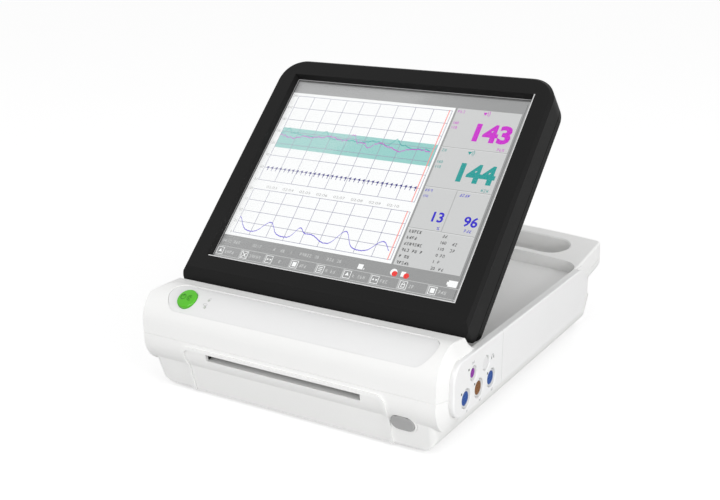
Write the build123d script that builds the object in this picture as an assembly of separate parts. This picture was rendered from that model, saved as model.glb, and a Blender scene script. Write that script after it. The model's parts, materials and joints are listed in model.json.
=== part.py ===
from build123d import *
import os
from math import atan, cos, degrees, pi, radians, sin, sqrt, tan

# Bench-top fetal heart monitor with a folding display and a thermal paper drawer.
# +X is the operator's right, +Y goes to the back, +Z is up, in millimetres.
# The origin is under the middle of the monitor, on the surface that it stands on.

# ---- display -------------------------------------------------------------
window_width = 246.0
window_height = 203.8
bezel_side = 20.9            # from the window to the outer edge, each side
bezel_top = 20.9
bezel_bottom = 17.2          # from the window to the crease of the chin
chin_height = 12.8           # from the crease down to the tip of the chin
window_recess = 5.35         # the glass lies this far behind the front face
mouth_flare = 2.4            # the window opens this much wider at the front face, each side
bezel_depth = 24.4
cover_edge_depth = 9.6       # rear cover, where it shows at the sides
cover_bulge = 2.1            # raised middle of the rear cover
cover_round = 2.5
corner_radius = 25.0
display_wall = 2.5
tilt_rest = 44.5             # degrees back from flat
hinge_along = -8.5           # hinge axis, measured up the screen from the window's lower edge
hinge_below = -2.375         # and out of the glass plane

# ---- front roll ----------------------------------------------------------
roll_radius = 28.0
roll_straight = 17.0         # upright stretch between its two rounds
roll_low_z = 48.0            # axis of the lower round
ring_width = 5.2             # bevelled ring at each end
ring_drop = 11.0
seam_z = 53.1                # parting line between the top cover and the base
hinge_back = 68.8            # hinge axis, from the front of the roll
hinge_z = 100.36
end_round = 20.0             # the left end of the roll is rounded off above, in front view
end_round_x = -131.0

# ---- sides and tray ------------------------------------------------------
display_side_gap = 3.0
rim_width = 3.0
panel_thickness = 4.0
panel_radius = 15.0          # rounded front of the side panels
panel_split_back = 102.5     # joint between the front and rear side panels
tray_wall_back = 56.8        # front wall of the tray, from the front of the roll
tray_floor_z = 71.0
wall = 2.5

# ---- rear deck and handle ------------------------------------------------
deck_slope = 0.14
deck_lead = 28.1             # the deck starts to rise this far ahead of the tray's rear wall
display_end_gap = 1.2
pad_side = 66.0              # rubber pads of the tray, from the middle
bow_radius = 720.0           # plan curve of the tray's rear wall, the slot and the back edge
tray_corner = 16.0
deck_land = 7.8
slot_width = 37.0
slot_half = 124.3
bar_width = 11.0
nose = 7.4
handle_thickness = 33.5
handle_seam = 17.0
handle_taper = 0.5           # each side comes in by this much towards the back
handle_corner = 5.5
edge_round = 2.4             # top edge of the handle
slot_step = 2.4              # the hand slot widens by this much, 15 mm down
slot_step_depth = 15.0
under_round = 14.0           # bottom edge of the handle
cheek_half = 118.0           # inside face of the cheeks that carry the handle

# ---- base ----------------------------------------------------------------
foot_height = 2.0
base_bottom_side = 15.6      # the bottom lies this far inside the side panels
base_draft = 17.0            # front and rear, degrees
side_draft = 5.0
base_round = 17.0            # rounded lower edges, in front view
base_corner = 6.0
base_front_set = 15.7        # bottom edge behind the front of the roll
base_rear_set = 28.0         # bottom edge ahead of the back of the handle
ledge_z = 14.0 + 2.0         # top of the shelf behind the rear bay

# ---- paper drawer and printer --------------------------------------------
drawer_left = -99.2
drawer_right = 97.8
drawer_top_z = 45.8
drawer_tray_half = 88.0
drawer_length = 118.0
drawer_gap = 0.4
bead_width = 3.0             # raised frame round the drawer's opening
bead_proud = 1.5
paper_slot_left = -76.0
paper_slot_right = 78.0
paper_slot_z = 39.4
platen_radius = 7.0
platen_half = 77.0
platen_back = 30.0           # platen axis, from the front of the roll
platen_z = 34.6
gear_module = 0.8
platen_teeth = 24
pinion_teeth = 12
paper_width = 150.0
paper_length = 88.0
paper_height = 14.0

# ---- buttons and ports ---------------------------------------------------
power_x = -103.3
power_angle = 124.5          # degrees up round the upper round of the roll, from +Y
power_diameter = 18.8
power_travel = 1.4
latch_x = 112.6
latch_z = 26.2
surround_grow = 2.2
latch_length = 21.4
latch_height = 13.8
button_gap = 0.3
port_pitch = 23.5
port_first_back = 34.6       # first lower port, from the front of the roll
port_low_z = 46.0
port_high_z = 62.9
port_high_shift = 0.53       # first upper port, as a share of the pitch
port_bore = 8.2              # radius of a large port's recess
small_bore = 6.3
insert_radius = 5.8
small_insert = 3.9
port_recess = 3.0
port_mouth = 0.5
insert_set = 1.2             # the inserts lie this far behind the panel's face
barrel_wall = 1.2

# ---- front inset and indicator lights ------------------------------------
inset_left = -124.5
inset_right = 137.3
inset_low_angle = 153.5      # degrees up round the roll, from +Y
inset_high_angle = 85.0
inset_depth = 1.8
inset_sheet = 1.1            # its face, above the floor of the recess
light_set = 21.4             # the lights lie this far to the right of the power button
light_radius = 1.0

# ---- boards, battery and feet --------------------------------------------
board_z = 57.0
screw_radius = 1.5
foot_radius = 8.0
foot_side = 105.0
foot_set = 24.0              # feet, from the front and rear edges of the tub
battery_width = 113.0
battery_length = 76.0
battery_height = 24.0
lip_width = 5.6              # ledge that the battery door closes against

# ---- display hinges ------------------------------------------------------
hinge_set = 48.0             # each hinge, from the display's side
pin_radius = 2.0

# ---- fits ----------------------------------------------------------------
running = 0.05
face_gap = 0.3
groove = 0.5                 # parting lines and the grooves beside the panels

# ---- worked out from the values above ------------------------------------
display_half = window_width / 2 + bezel_side
face_top = window_height + bezel_top
tray_half = display_half + display_side_gap
shell_half = tray_half + rim_width
panel_face = shell_half + panel_thickness
roll_half = shell_half - ring_width
display_reach = face_top - hinge_along
bow_drop = (display_half - corner_radius) ** 2 / (2 * bow_radius)
tray_back = hinge_back + display_reach + display_end_gap + bow_drop
body_depth = tray_back + deck_land + slot_width + bar_width + nose
front_y = -(body_depth - bead_proud) / 2     # the raised frame stands ahead of the roll
rear_y = front_y + body_depth
roll_y = front_y + roll_radius
roll_high_z = roll_low_z + roll_straight
roll_top = roll_high_z + roll_radius
rim_z = roll_high_z + panel_radius
panel_low_z = roll_low_z - panel_radius
hinge_y = front_y + hinge_back
tray_front_y = front_y + tray_wall_back
tray_rear_y = front_y + tray_back
deck_y = tray_rear_y - deck_lead
deck_tilt = degrees(atan(deck_slope))
split_y = tray_rear_y - 12.9     # the base and top cover end here under the panels
bay_y = tray_rear_y - 6.0        # front wall of the rear bay
base_half = panel_face - base_bottom_side
base_front_y = front_y + base_front_set
base_rear_y = rear_y - base_rear_set
panel_rear_y = tray_rear_y - 3.8
floor_z = foot_height + wall
platen_y = front_y + platen_back
panel_split_y = front_y + panel_split_back
top_wall_back_y = tray_front_y - 8.6
plate_x = shell_half

display_plane = Plane(
    origin=(0, hinge_y, hinge_z),
    x_dir=(1, 0, 0),
    z_dir=(0, -sin(radians(tilt_rest)), cos(radians(tilt_rest))),
)
deck_plane = Plane(
    origin=(0, deck_y, rim_z),
    x_dir=(1, 0, 0),
    z_dir=(0, -sin(radians(deck_tilt)), cos(radians(deck_tilt))),
)


def box(x0, x1, y0, y1, z0, z1):
    """A box between two corners."""
    return Pos((x0 + x1) / 2, (y0 + y1) / 2, (z0 + z1) / 2) * Box(x1 - x0, y1 - y0, z1 - z0)


def rod(radius, x0, x1, y, z):
    """A cylinder along X."""
    return Pos((x0 + x1) / 2, y, z) * Rot(0, 90, 0) * Cylinder(radius, x1 - x0)


def post(radius, x, y, z0, z1):
    """A cylinder along Z."""
    return Pos(x, y, (z0 + z1) / 2) * Cylinder(radius, z1 - z0)


def mirrored(shape):
    """The shape and its mirror image across the middle plane."""
    return [shape, mirror(shape, about=Plane.YZ)]


def side_face(points, x=0.0):
    """A face in a plane of constant x, from (y, z) corners."""
    return Plane.YZ.offset(x) * make_face(Polyline(*points, close=True))


def side_prism(points, x0, x1):
    """A prism along X over the (y, z) corners."""
    return extrude(side_face(points, x0), amount=x1 - x0)


def stadium(radius, x=0.0):
    """Cross-section of the roll at a given radius."""
    middle = (roll_low_z + roll_high_z) / 2
    place = Plane.YZ.offset(x) * Pos(roll_y, middle) * Rot(0, 0, 90)
    return place * SlotCenterToCenter(roll_straight, 2 * radius)


def roll_bar(radius, half):
    """The front roll as a bar along X."""
    return extrude(stadium(radius), amount=half, both=True)


def save(name, shape):
    """Write one sub-part."""
    solids = shape if isinstance(shape, list) else [shape]
    solids = [s for part in solids for s in part.solids()]
    export_step(Compound(children=solids), "parts/" + name + ".step")


# ---- shared envelopes ----------------------------------------------------
def roll_envelope():
    """The roll with its bevelled end rings and the slope down to the tray."""
    body = roll_bar(roll_radius, roll_half)
    ring = loft([stadium(roll_radius, roll_half), stadium(roll_radius - ring_drop, shell_half)])
    shoulder = [
        (roll_y, seam_z), (roll_y, roll_top), (top_wall_back_y, roll_top - 2.8),
        (tray_front_y, rim_z), (tray_front_y, seam_z),
    ]
    low = [
        (roll_y, seam_z), (roll_y, roll_top - ring_drop), (top_wall_back_y, rim_z + 0.4),
        (tray_front_y, rim_z), (tray_front_y, seam_z),
    ]
    mid = side_prism(shoulder, -roll_half, roll_half)
    back_edges = mid.edges().filter_by(Axis.X).sort_by(Axis.Z)[-2:-1]
    mid = fillet(back_edges, 2.5)
    cap = loft([side_face(shoulder, roll_half), side_face(low, shell_half)])
    for piece in mirrored(ring) + mirrored(cap):
        body += piece
    return body + mid


def base_section(grow):
    """Front view of the tub: drafted sides and rounded lower edges."""
    high = panel_low_z
    low = foot_height - grow
    out = (high - foot_height) * tan(radians(side_draft))
    low_half = base_half + grow - grow * tan(radians(side_draft))
    corners = [(-low_half, low), (low_half, low), (base_half + out + grow, high), (-base_half - out - grow, high)]
    face = make_face(Polyline(*corners, close=True))
    face = fillet(face.vertices().group_by(Axis.Y)[0], base_round + grow)
    return extrude(Plane.XZ * face, amount=400, both=True)


def base_loft(grow):
    """The drafted tub under the roll, grown or shrunk by a wall."""
    low_z = foot_height
    high_z = panel_low_z
    spread = (high_z - low_z) * tan(radians(base_draft))
    faces = []
    side_spread = (high_z - low_z) * tan(radians(side_draft))
    for z, out, side_out in ((low_z, 0.0, 0.0), (high_z, spread, side_spread)):
        width = 2 * (base_half + side_out + grow)
        length = base_rear_y - base_front_y + 2 * (out + grow)
        place = Plane.XY.offset(z) * Pos(0, (base_front_y + base_rear_y) / 2)
        faces.append(place * RectangleRounded(width, length, base_corner + grow))
    return loft(faces)


def base_skin(grow):
    """The tub as a solid, grown or shrunk by a wall."""
    return base_loft(grow) & base_section(grow)


def handle_plan(inset):
    """Plan of the handle slab, seen square to the deck."""
    lean = radians(deck_tilt)
    reach = rear_y - (handle_thickness - under_round) * sin(lean) - under_round * (1 - cos(lean))
    back = (reach - deck_y) / cos(lean)
    half = shell_half - 0.5
    corners = [(-half, -20), (half, -20), (half - handle_taper, back), (-half + handle_taper, back)]
    side = make_face(Polyline(*corners, close=True))
    bow = Pos(0, back - bow_radius) * Circle(bow_radius)
    plan = side & bow
    plan = fillet(plan.vertices().group_by(Axis.Y)[-1], handle_corner)
    return offset(plan, -inset) if inset else plan


def handle_slab():
    """The tilted slab behind the tray: deck above, grip below."""
    slab = extrude(handle_plan(0), amount=-handle_thickness)
    top = slab.faces().sort_by(Axis.Z)[-1]
    slab = fillet(top.edges().filter_by(lambda e: e.center().Y > -15), edge_round)
    under = slab.faces().sort_by(Axis.Z)[0]
    slab = fillet(under.edges().filter_by(lambda e: e.center().Y > -15), under_round)
    return deck_plane * slab


def slot_tool(grow):
    """The hand slot as a bowed stadium, right through the slab."""
    middle = (tray_rear_y + deck_land + slot_width / 2 - deck_y) / cos(radians(deck_tilt))
    end_x = slot_half - slot_width / 2
    sag = bow_radius - sqrt(bow_radius ** 2 - end_x ** 2)
    arc = ThreePointArc((-end_x, middle - sag), (0, middle), (end_x, middle - sag))
    tool = extrude(SlotArc(arc, slot_width + 2 * grow), amount=handle_thickness + 20, both=True)
    return deck_plane * tool


def slot_lead():
    """A small chamfer round the mouth of the hand slot."""
    middle = (tray_rear_y + deck_land + slot_width / 2 - deck_y) / cos(radians(deck_tilt))
    end_x = slot_half - slot_width / 2
    sag = bow_radius - sqrt(bow_radius ** 2 - end_x ** 2)
    arc = ThreePointArc((-end_x, middle - sag), (0, middle), (end_x, middle - sag))
    low = Plane.XY.offset(-1.2) * SlotArc(arc, slot_width)
    high = Plane.XY.offset(0.1) * SlotArc(arc, slot_width + 2.6)
    return deck_plane * loft([low, high])


def tray_tool(grow, z0, z1):
    """The pocket that the folded display drops into."""
    half = tray_half + grow
    front = tray_front_y - grow
    back = tray_rear_y + grow
    side = Pos(0, (front + back) / 2) * Rectangle(2 * half, back - front)
    bow = Pos(0, back - bow_radius) * Circle(bow_radius)
    plan = side & bow
    plan = fillet(plan.vertices().group_by(Axis.Y)[-1], tray_corner + grow)
    return extrude(Plane.XY.offset(z0) * plan, amount=z1 - z0)


def below_deck(drop):
    """Everything under a plane that lies this far below the deck."""
    block = Pos(0, 60, -drop - 150) * Box(500, 500, 300)
    return deck_plane * block


def roll_spot(x, angle, depth=0.0):
    """A plane on the upper round of the roll, facing straight out of it."""
    reach = roll_radius - depth
    out = (0, cos(radians(angle)), sin(radians(angle)))
    origin = (x, roll_y + reach * out[1], roll_high_z + reach * out[2])
    return Plane(origin=origin, x_dir=(1, 0, 0), z_dir=out)


def light_spots():
    """Planes on the roll where the two indicator lights sit."""
    return [roll_spot(power_x + light_set, angle) for angle in (133.2, 117.5)]


# ---- front inset ---------------------------------------------------------
def inset_outline(grow):
    """Rounded window in front view that bounds the inset, cut through the roll's skin."""
    low_y = roll_y + roll_radius * cos(radians(inset_low_angle))
    high_y = roll_y + roll_radius * cos(radians(inset_high_angle))
    length = inset_right - inset_left + 2 * grow
    width = high_y - low_y + 2 * grow
    centre = Pos((inset_left + inset_right) / 2, (low_y + high_y) / 2)
    plan = Plane.XY.offset(roll_high_z) * centre * RectangleRounded(length, width, width / 2 - 0.01)
    return extrude(plan, amount=roll_radius + 10)


def front_inset():
    """Membrane that lies in the recess along the top of the roll."""
    outer = roll_bar(roll_radius - inset_depth + inset_sheet, roll_half)
    inner = roll_bar(roll_radius - inset_depth + face_gap, roll_half)
    sheet = (outer - inner) & inset_outline(-face_gap)
    hole = roll_spot(power_x, power_angle) * Cylinder(power_diameter / 2 + button_gap, 20)
    sheet = sheet - hole
    for place in light_spots():
        sheet = sheet - place * Cylinder(light_radius + face_gap, 20)
    return sheet


# ---- casings -------------------------------------------------------------
def top_cover():
    """Upper half of the roll, tray, rims and the top of the handle, as one shell."""
    seam = box(-300, 300, -400, split_y, -50, seam_z)
    walls = box(-shell_half, shell_half, roll_y, split_y, seam_z, rim_z)
    front = roll_envelope() + walls
    front = front - seam
    slab = handle_slab() - below_deck(handle_seam)
    shell = front + slab - tray_tool(0, tray_floor_z, 200)
    shell = shell - slot_tool(0) - slot_lead()
    shell = shell - (slot_tool(slot_step) & below_deck(slot_step_depth))
    roll_space = roll_bar(roll_radius - wall, roll_half - 1.5)
    roll_space = roll_space - box(-300, 300, -400, 400, -50, seam_z - 5)
    shoulder = [
        (roll_y - 1, seam_z - 5), (roll_y - 1, roll_top - wall), (top_wall_back_y - 1.5, roll_top - 2.8 - wall),
        (tray_front_y - wall, rim_z - 1), (tray_front_y - wall, seam_z - 5),
    ]
    shell = shell - roll_space - side_prism(shoulder, -roll_half + 1.5, roll_half - 1.5)
    under_tray = box(-tray_half + 0.5, tray_half - 0.5, roll_y, split_y + 1, seam_z - 5, tray_floor_z - wall)
    shell = shell - under_tray
    hollow = extrude(Plane.XY.offset(-handle_seam - 1) * handle_plan(wall), amount=handle_seam + 1 - wall)
    hollow = deck_plane * hollow - slot_tool(slot_step + wall) - tray_tool(wall, 0, 200)
    hollow = hollow - box(-300, 300, -400, split_y + 1, -50, 200)
    shell = shell - hollow
    recess = roll_bar(roll_radius + 5, roll_half) - roll_bar(roll_radius - inset_depth, roll_half)
    shell = shell - (recess & inset_outline(0))
    sleeve = roll_spot(power_x, power_angle, 6.0) * Cylinder(power_diameter / 2 + button_gap + 1.6, 8)
    shell = shell + (sleeve & roll_bar(roll_radius - inset_depth, roll_half))
    shell = shell - roll_spot(power_x, power_angle) * Cylinder(power_diameter / 2 + button_gap, 40)
    for place in light_spots():
        shell = shell - place * Cylinder(light_radius + face_gap, 20)
    for side in (-1, 1):
        shell = shell - port_window(side)
    for piece in end_groove():
        shell = shell - piece
    return shell - left_end_trim()


def left_end_trim():
    """What the rounding takes off the upper left end of the roll."""
    z = roll_top - end_round
    block = box(-300, end_round_x, -400, tray_front_y - 3, z, 200)
    return block - Pos(end_round_x, -200, z) * Rot(90, 0, 0) * Cylinder(end_round, 500)


def port_window(side):
    """Opening in the side wall behind the front side panel."""
    x = side * (shell_half - 8)
    y0 = front_y + port_first_back - 11
    y1 = y0 + 2 * port_pitch + 22
    return box(x - 12, x + 12, y0, y1, panel_low_z + 4.5, tray_floor_z - wall - 0.2)


def end_groove():
    """Shallow groove in the ends of the roll, round the front of the side panels."""
    outer = extrude(stadium(panel_radius + 1.5, shell_half - 1.0), amount=5)
    inner = extrude(stadium(panel_radius - 0.1, shell_half - 2.0), amount=8)
    return mirrored((outer - inner) & box(0, 300, -400, roll_y, -50, 200))


def seam_groove():
    """Parting line round the roll, cut into the base."""
    inner = roll_bar(roll_radius - groove, roll_half)
    ends = loft([
        stadium(roll_radius - groove, roll_half - groove),
        stadium(roll_radius - ring_drop - groove, shell_half - groove),
    ])
    for piece in mirrored(ends):
        inner = inner + piece
    return box(-200, 200, -400, roll_y + 2, seam_z - groove, seam_z + 1) - inner


def slab_groove():
    """Parting line round the handle, cut into its lower half."""
    ring = handle_plan(-2) - handle_plan(groove)
    ring = extrude(Plane.XY.offset(-handle_seam - groove) * ring, amount=groove)
    return (deck_plane * ring) & box(-300, 300, split_y + 1, 400, 0, 200)


def opening_face(grow):
    """Front view of the drawer opening: rounded at the top, open at the bottom."""
    left, right = drawer_left - grow, drawer_right + grow
    top = drawer_top_z + grow
    low = -30.0
    face = Pos((left + right) / 2, (top + low) / 2) * Rectangle(right - left, top - low)
    return fillet(face.vertices().group_by(Axis.Y)[-1], 5.0 + grow)


def opening_prism(grow, y0, y1):
    """The drawer opening as a prism along Y."""
    return extrude(Plane.XZ.offset(-y0) * opening_face(grow), amount=-(y1 - y0))


def front_skin(grow):
    """Everything behind the front surface, moved out by grow."""
    low = base_front_y - grow / cos(radians(base_draft))
    rise = panel_low_z - foot_height
    points = [
        (low, foot_height), (low - rise * tan(radians(base_draft)), panel_low_z),
        (roll_y, panel_low_z), (roll_y, foot_height),
    ]
    return roll_bar(roll_radius + grow, roll_half) + side_prism(points, -roll_half, roll_half)


def drawer_bead():
    """Raised frame round the drawer opening, following the front surface."""
    outer = opening_prism(bead_width + drawer_gap, front_y - 20, roll_y)
    frame = outer - opening_prism(drawer_gap, front_y - 21, roll_y + 1)
    frame = frame & box(-200, 200, -400, 400, foot_height, seam_z - 1)
    return frame & (front_skin(bead_proud) - front_skin(-wall))


def base_tub():
    """Lower half of the casing: tub, lower half of the roll and the cheeks under the handle."""
    above = box(-300, 300, -400, 400, seam_z, 200)
    ring = loft([stadium(roll_radius, roll_half), stadium(roll_radius - ring_drop, shell_half)])
    roll = roll_bar(roll_radius, roll_half)
    for piece in mirrored(ring):
        roll = roll + piece
    tub = base_loft(0)
    tub = fillet(tub.edges().group_by(Axis.Z)[0], 3.0) & base_section(0)
    middle = box(-shell_half, shell_half, roll_y, split_y, panel_low_z, seam_z)
    top_half = base_half + (panel_low_z - foot_height) * tan(radians(side_draft))
    cheeks = box(-top_half, top_half, split_y - 1, base_rear_y, panel_low_z, 100)
    shell = roll + tub + middle - above + (cheeks & below_deck(handle_thickness))
    shell = shell - box(-cheek_half, cheek_half, bay_y, 400, ledge_z, 200)
    inner = base_skin(-wall) - box(-300, 300, -400, 400, 0, floor_z)
    shell = shell - (inner & box(-300, 300, -400, bay_y - wall, 0, 200))
    shell = shell - (inner & box(-300, 300, bay_y - wall - 1, base_rear_y, 0, ledge_z - wall))
    shell = shell - roll_bar(roll_radius - wall, roll_half - 1.5)
    space = box(-shell_half + wall, shell_half - wall, roll_y, split_y - wall, panel_low_z - 1, seam_z + 1)
    space = space - box(-shell_half, -top_half + wall, -400, 400, 0, panel_low_z + wall)
    space = space - box(top_half - wall, shell_half, -400, 400, 0, panel_low_z + wall)
    inlet = box(-cheek_half + wall, cheek_half - wall, split_y - 5, bay_y - wall, floor_z, 100)
    shell = shell - space - inlet
    reach = base_skin(-wall) + box(-300, 300, -400, 400, panel_low_z - 1, 100)
    for pocket in mirrored(box(cheek_half + wall, top_half - 6.5, split_y - 5, base_rear_y - 8, floor_z, 44)):
        shell = shell - (pocket & reach)
    for side in (-1, 1):
        shell = shell - port_window(side)
    for piece in end_groove():
        shell = shell - piece
    shell = shell - seam_groove() + drawer_bead()
    door_way = opening_prism(drawer_gap, front_y - 20, roll_y + 8)
    door_way = door_way - box(-300, 300, base_front_y + 3.6, 400, -50, floor_z)
    return finish_base(shell - door_way)


def latch_place():
    """A plane on the tub's front, square to it, at the middle of the latch button."""
    rise = latch_z - foot_height
    y = base_front_y - rise * tan(radians(base_draft))
    out = (0, -cos(radians(base_draft)), -sin(radians(base_draft)))
    return Plane(origin=(latch_x, y, latch_z), x_dir=(1, 0, 0), z_dir=out)


def latch_oval(grow):
    """Outline of the latch button."""
    return SlotOverall(latch_length + 2 * grow, latch_height + 2 * grow)


def finish_base(shell):
    """Latch seat, battery opening, rear panel opening, screw holes, posts and foot pads."""
    seat = latch_place() * extrude(Plane.XY.offset(-1.2) * latch_oval(surround_grow), amount=30)
    shell = shell - (seat & latch_side(0))
    shell = shell - latch_place() * extrude(latch_oval(button_gap), amount=12, both=True)
    x0, x1, y0, y1 = battery_place()
    shell = shell - box(x0, x1, y0, y1, 0, floor_z + 1)
    lip = box(x0 - 4, x1 + 4, y0 - 4, y1 + 4, floor_z - 0.6, floor_z + 1.6)
    shell = shell + (lip - box(x0 + lip_width, x1 - lip_width, y0 + lip_width, y1 - lip_width, 0, floor_z + 2))
    for x in (x0 + 10, x1 - 10):
        shell = shell - post(screw_radius, x, y0 + 3.4, 0, floor_z + 3)
    shell = shell - rear_opening(0.2)
    for x, y in board_posts():
        shell = shell + post(4.0, x, y, floor_z - 0.5, board_z)
        shell = shell - post(screw_radius, x, y, board_z - 9, board_z + 1)
    for x, y in foot_places():
        shell = shell - post(foot_radius, x, y, 0, foot_height + 1.0)
    return shell


# ---- things fixed to the base --------------------------------------------
def battery_place():
    """Corners in plan of the battery opening."""
    x0 = -6.0
    y1 = bay_y - 14.0
    spare = 2 * (lip_width + 0.5)
    return x0, x0 + battery_width + spare, y1 - battery_length - spare, y1


def board_posts():
    """Where the main board's four posts stand."""
    y1 = split_y - 9.0
    return [(-60, y1), (-60, y1 - 104), (60, y1 - 104), (-122, y1 - 60)]


def foot_places():
    """Four feet under the corners of the tub."""
    ys = (base_front_y + foot_set, base_rear_y - foot_set)
    return [(side * foot_side, y) for side in (-1, 1) for y in ys]


def rear_opening(grow):
    """Opening for the connector panel in the front wall of the rear bay."""
    return box(-104 - grow, 104 + grow, bay_y - wall - 1, bay_y + 1, ledge_z + 2 - grow, 44 + grow)


def feet():
    """Rubber feet."""
    out = []
    for x, y in foot_places():
        foot = post(foot_radius - 0.3, x, y, 0, foot_height + 1.0)
        out.append(chamfer(foot.edges().group_by(Axis.Z)[0], 0.6))
    return out


def side_outline(radius_cut=0.0):
    """Outline in side view of both side panels together."""
    r = panel_radius - radius_cut
    low, high = panel_low_z + radius_cut, rim_z - radius_cut
    end = panel_rear_y - radius_cut
    points = [
        (roll_y, low), (roll_y, high), (end + 0.4, high), (end, roll_low_z + 5), (end - 12, low),
    ]
    body = make_face(Polyline(*points, close=True))
    corners = body.vertices().sort_by(Axis.X)
    body = fillet([v for v in corners if v.Y > high - 1 and v.X > end - 1], 26.0)
    corners = body.vertices().sort_by(Axis.X)
    body = fillet([v for v in corners if abs(v.Y - low) < 0.1 and v.X > end - 20], 9.0)
    middle = (roll_low_z + roll_high_z) / 2
    nose_face = Pos(roll_y, middle) * Rot(0, 0, 90) * SlotCenterToCenter(roll_straight, 2 * r)
    return body + nose_face


def side_panel(side, rear):
    """One side panel: the front plate or the plate behind it, right (1) or left (-1)."""
    face = Plane.YZ.offset(plate_x) * side_outline()
    plate = extrude(face, amount=panel_thickness)
    outer = plate.faces().sort_by(Axis.X)[-1]
    plate = fillet(outer.edges(), 1.4)
    half = groove / 2
    if rear:
        plate = plate - box(0, 300, -400, panel_split_y + half, -50, 200)
    else:
        plate = plate - box(0, 300, panel_split_y - half, 400, -50, 200)
        if side > 0:
            for y, z, large in port_places():
                plate = plate - rod(port_bore if large else small_bore, 100, 200, y, z)
                mouth = chamfer_cone(port_bore if large else small_bore, y, z)
                plate = plate - mouth
        else:
            y, z = speaker_place()
            for k in range(-3, 4):
                reach = sqrt(14.5 ** 2 - (4.0 * k) ** 2)
                slit = box(0, 300, y - reach, y + reach, z + 4.0 * k - 0.9, z + 4.0 * k + 0.9)
                plate = plate - slit
    if side > 0:
        return plate
    return mirror(plate, about=Plane.YZ) - left_nose_trim()


def left_nose_trim():
    """The left panel thins out towards its rounded front."""
    y = roll_y - panel_radius - 1
    corners = [(-shell_half + 0.2, y), (-panel_face - 1, y), (-panel_face - 1, y + 29)]
    return extrude(Plane.XY.offset(-10) * make_face(Polyline(*corners, close=True)), amount=200)


def chamfer_cone(radius, y, z):
    """The bevelled mouth of a port."""
    cone = Cone(radius, radius + port_mouth + 0.1, port_mouth + 0.1)
    return Pos(panel_face - port_mouth / 2 + 0.05, y, z) * Rot(0, 90, 0) * cone


def port_places():
    """Centres of the ports on the right: three large in a row, two small above."""
    first = front_y + port_first_back
    low = [(first + k * port_pitch, port_low_z, True) for k in range(3)]
    high = [(first + (k + port_high_shift) * port_pitch, port_high_z, False) for k in range(2)]
    return low + high


def port_shell(y, z, large, open_port=True):
    """White barrel of one port, seated in the panel's bore."""
    radius = (port_bore if large else small_bore) - face_gap
    inner = insert_radius if large else small_insert
    front = panel_face - port_recess
    barrel = rod(7.4 if large else 4.6, front - 10, plate_x + 0.2, y, z)
    collar = rod(radius, plate_x + 0.1, front, y, z)
    if open_port:
        collar = collar + rod(inner + barrel_wall, front - 1, panel_face - insert_set + 0.2, y, z)
    return barrel + collar - rod(inner + face_gap, 100, 200, y, z)


def port_insert(y, z, large):
    """Coloured insert of one port, with its contact holes and key."""
    radius = insert_radius if large else small_insert
    front = panel_face - insert_set
    body = rod(radius, front - 11.8, front, y, z)
    body = body.fillet(0.5, body.edges().filter_by(GeomType.CIRCLE).sort_by(Axis.X)[-1:])
    count = 6 if large else 4
    for k in range(count):
        a = 2 * pi * k / count
        reach = radius * 0.55
        body = body - rod(0.6, front - 6, 200, y + reach * cos(a), z + reach * sin(a))
    if large:
        body = body - rod(0.6, front - 6, 200, y, z)
    return body - box(front - 4, 200, y - 1.0, y + 1.0, z + radius - 1.0, z + radius + 2)


def blank_plug(y, z):
    """Blank plug in the second small port."""
    front = panel_face - insert_set
    cap = rod(small_bore - 1.1, panel_face - port_recess + 0.05, front, y, z)
    return cap + rod(small_insert, front - 11.8, front - 1, y, z)


def port_board():
    """Circuit board behind the ports."""
    y0 = front_y + port_first_back - 10
    x = panel_face - port_recess - 10.0
    return box(x - 1.65, x - 0.05, y0, y0 + 2 * port_pitch + 20, panel_low_z + 5, tray_floor_z - wall - 0.7)


def speaker_place():
    """Middle of the loudspeaker, seen from the side."""
    return front_y + port_first_back + port_pitch, panel_low_z + 19.5


def speaker():
    """Loudspeaker behind the slits of the left front panel."""
    y, z = speaker_place()
    x = -shell_half
    rim = rod(15.0, x + 0.1, x + 3.0, y, z) - rod(13.0, x - 1, x + 1.4, y, z)
    basket = Pos(x + 7.0, y, z) * Rot(0, 90, 0) * Cone(13.5, 9, 8)
    magnet = rod(9.5, x + 10.9, x + 17, y, z)
    return rim + basket + magnet


# ---- display -------------------------------------------------------------
def in_display(shape):
    """Place a shape built with the window's lower middle as its origin."""
    return display_plane * Pos(0, -hinge_along, -hinge_below) * shape


def display_outline(grow, bottom):
    """Front view of the display down to a given height."""
    top = face_top + grow
    half = display_half + grow
    low = bottom - grow
    face = Pos(0, (top + low) / 2) * Rectangle(2 * half, top - low)
    face = fillet(face.vertices().group_by(Axis.Y)[-1], corner_radius + grow)
    return fillet(face.vertices().group_by(Axis.Y)[0], max(7.0 + grow, 1.5))


def chin_cutter(grow):
    """Side profile of the bezel as a long prism: flat face, chin and rounded foot."""
    tip = -bezel_bottom - chin_height
    front = window_recess + grow
    points = [
        (face_top + 20, front), (-bezel_bottom - grow * 0.3, front), (tip - grow, -3.0),
        (tip + 1.0 - grow, -7.5), (tip + 4.4, -15.3), (tip + 10.5, -20.0), (tip + 10.5, -60.0), (face_top + 20, -60.0),
    ]
    prism = extrude(Plane.YZ.offset(-200) * make_face(Polyline(*points, close=True)), amount=400)
    return prism


def hinge_notches(shape):
    """Clear the hinge towers and lugs from the lower back of a display shell."""
    points = [
        (6.9, -50), (6.9, 4.6), (-3.7, 4.6), (-19.5, -1.8), (-33.5, -7.5), (-33.5, -50),
    ]
    points = [(along + hinge_along, below + hinge_below) for along, below in points]
    for x in hinge_xs():
        prism = extrude(Plane.YZ.offset(x - 9.2) * make_face(Polyline(*points, close=True)), amount=18.4)
        shape = shape - prism - Pos(x, hinge_along, hinge_below) * Rot(0, 90, 0) * Cylinder(3.9, 38)
    return shape


def hinge_xs():
    """Middles of the two hinges."""
    x = display_half - hinge_set
    return (-x, x)


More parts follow.
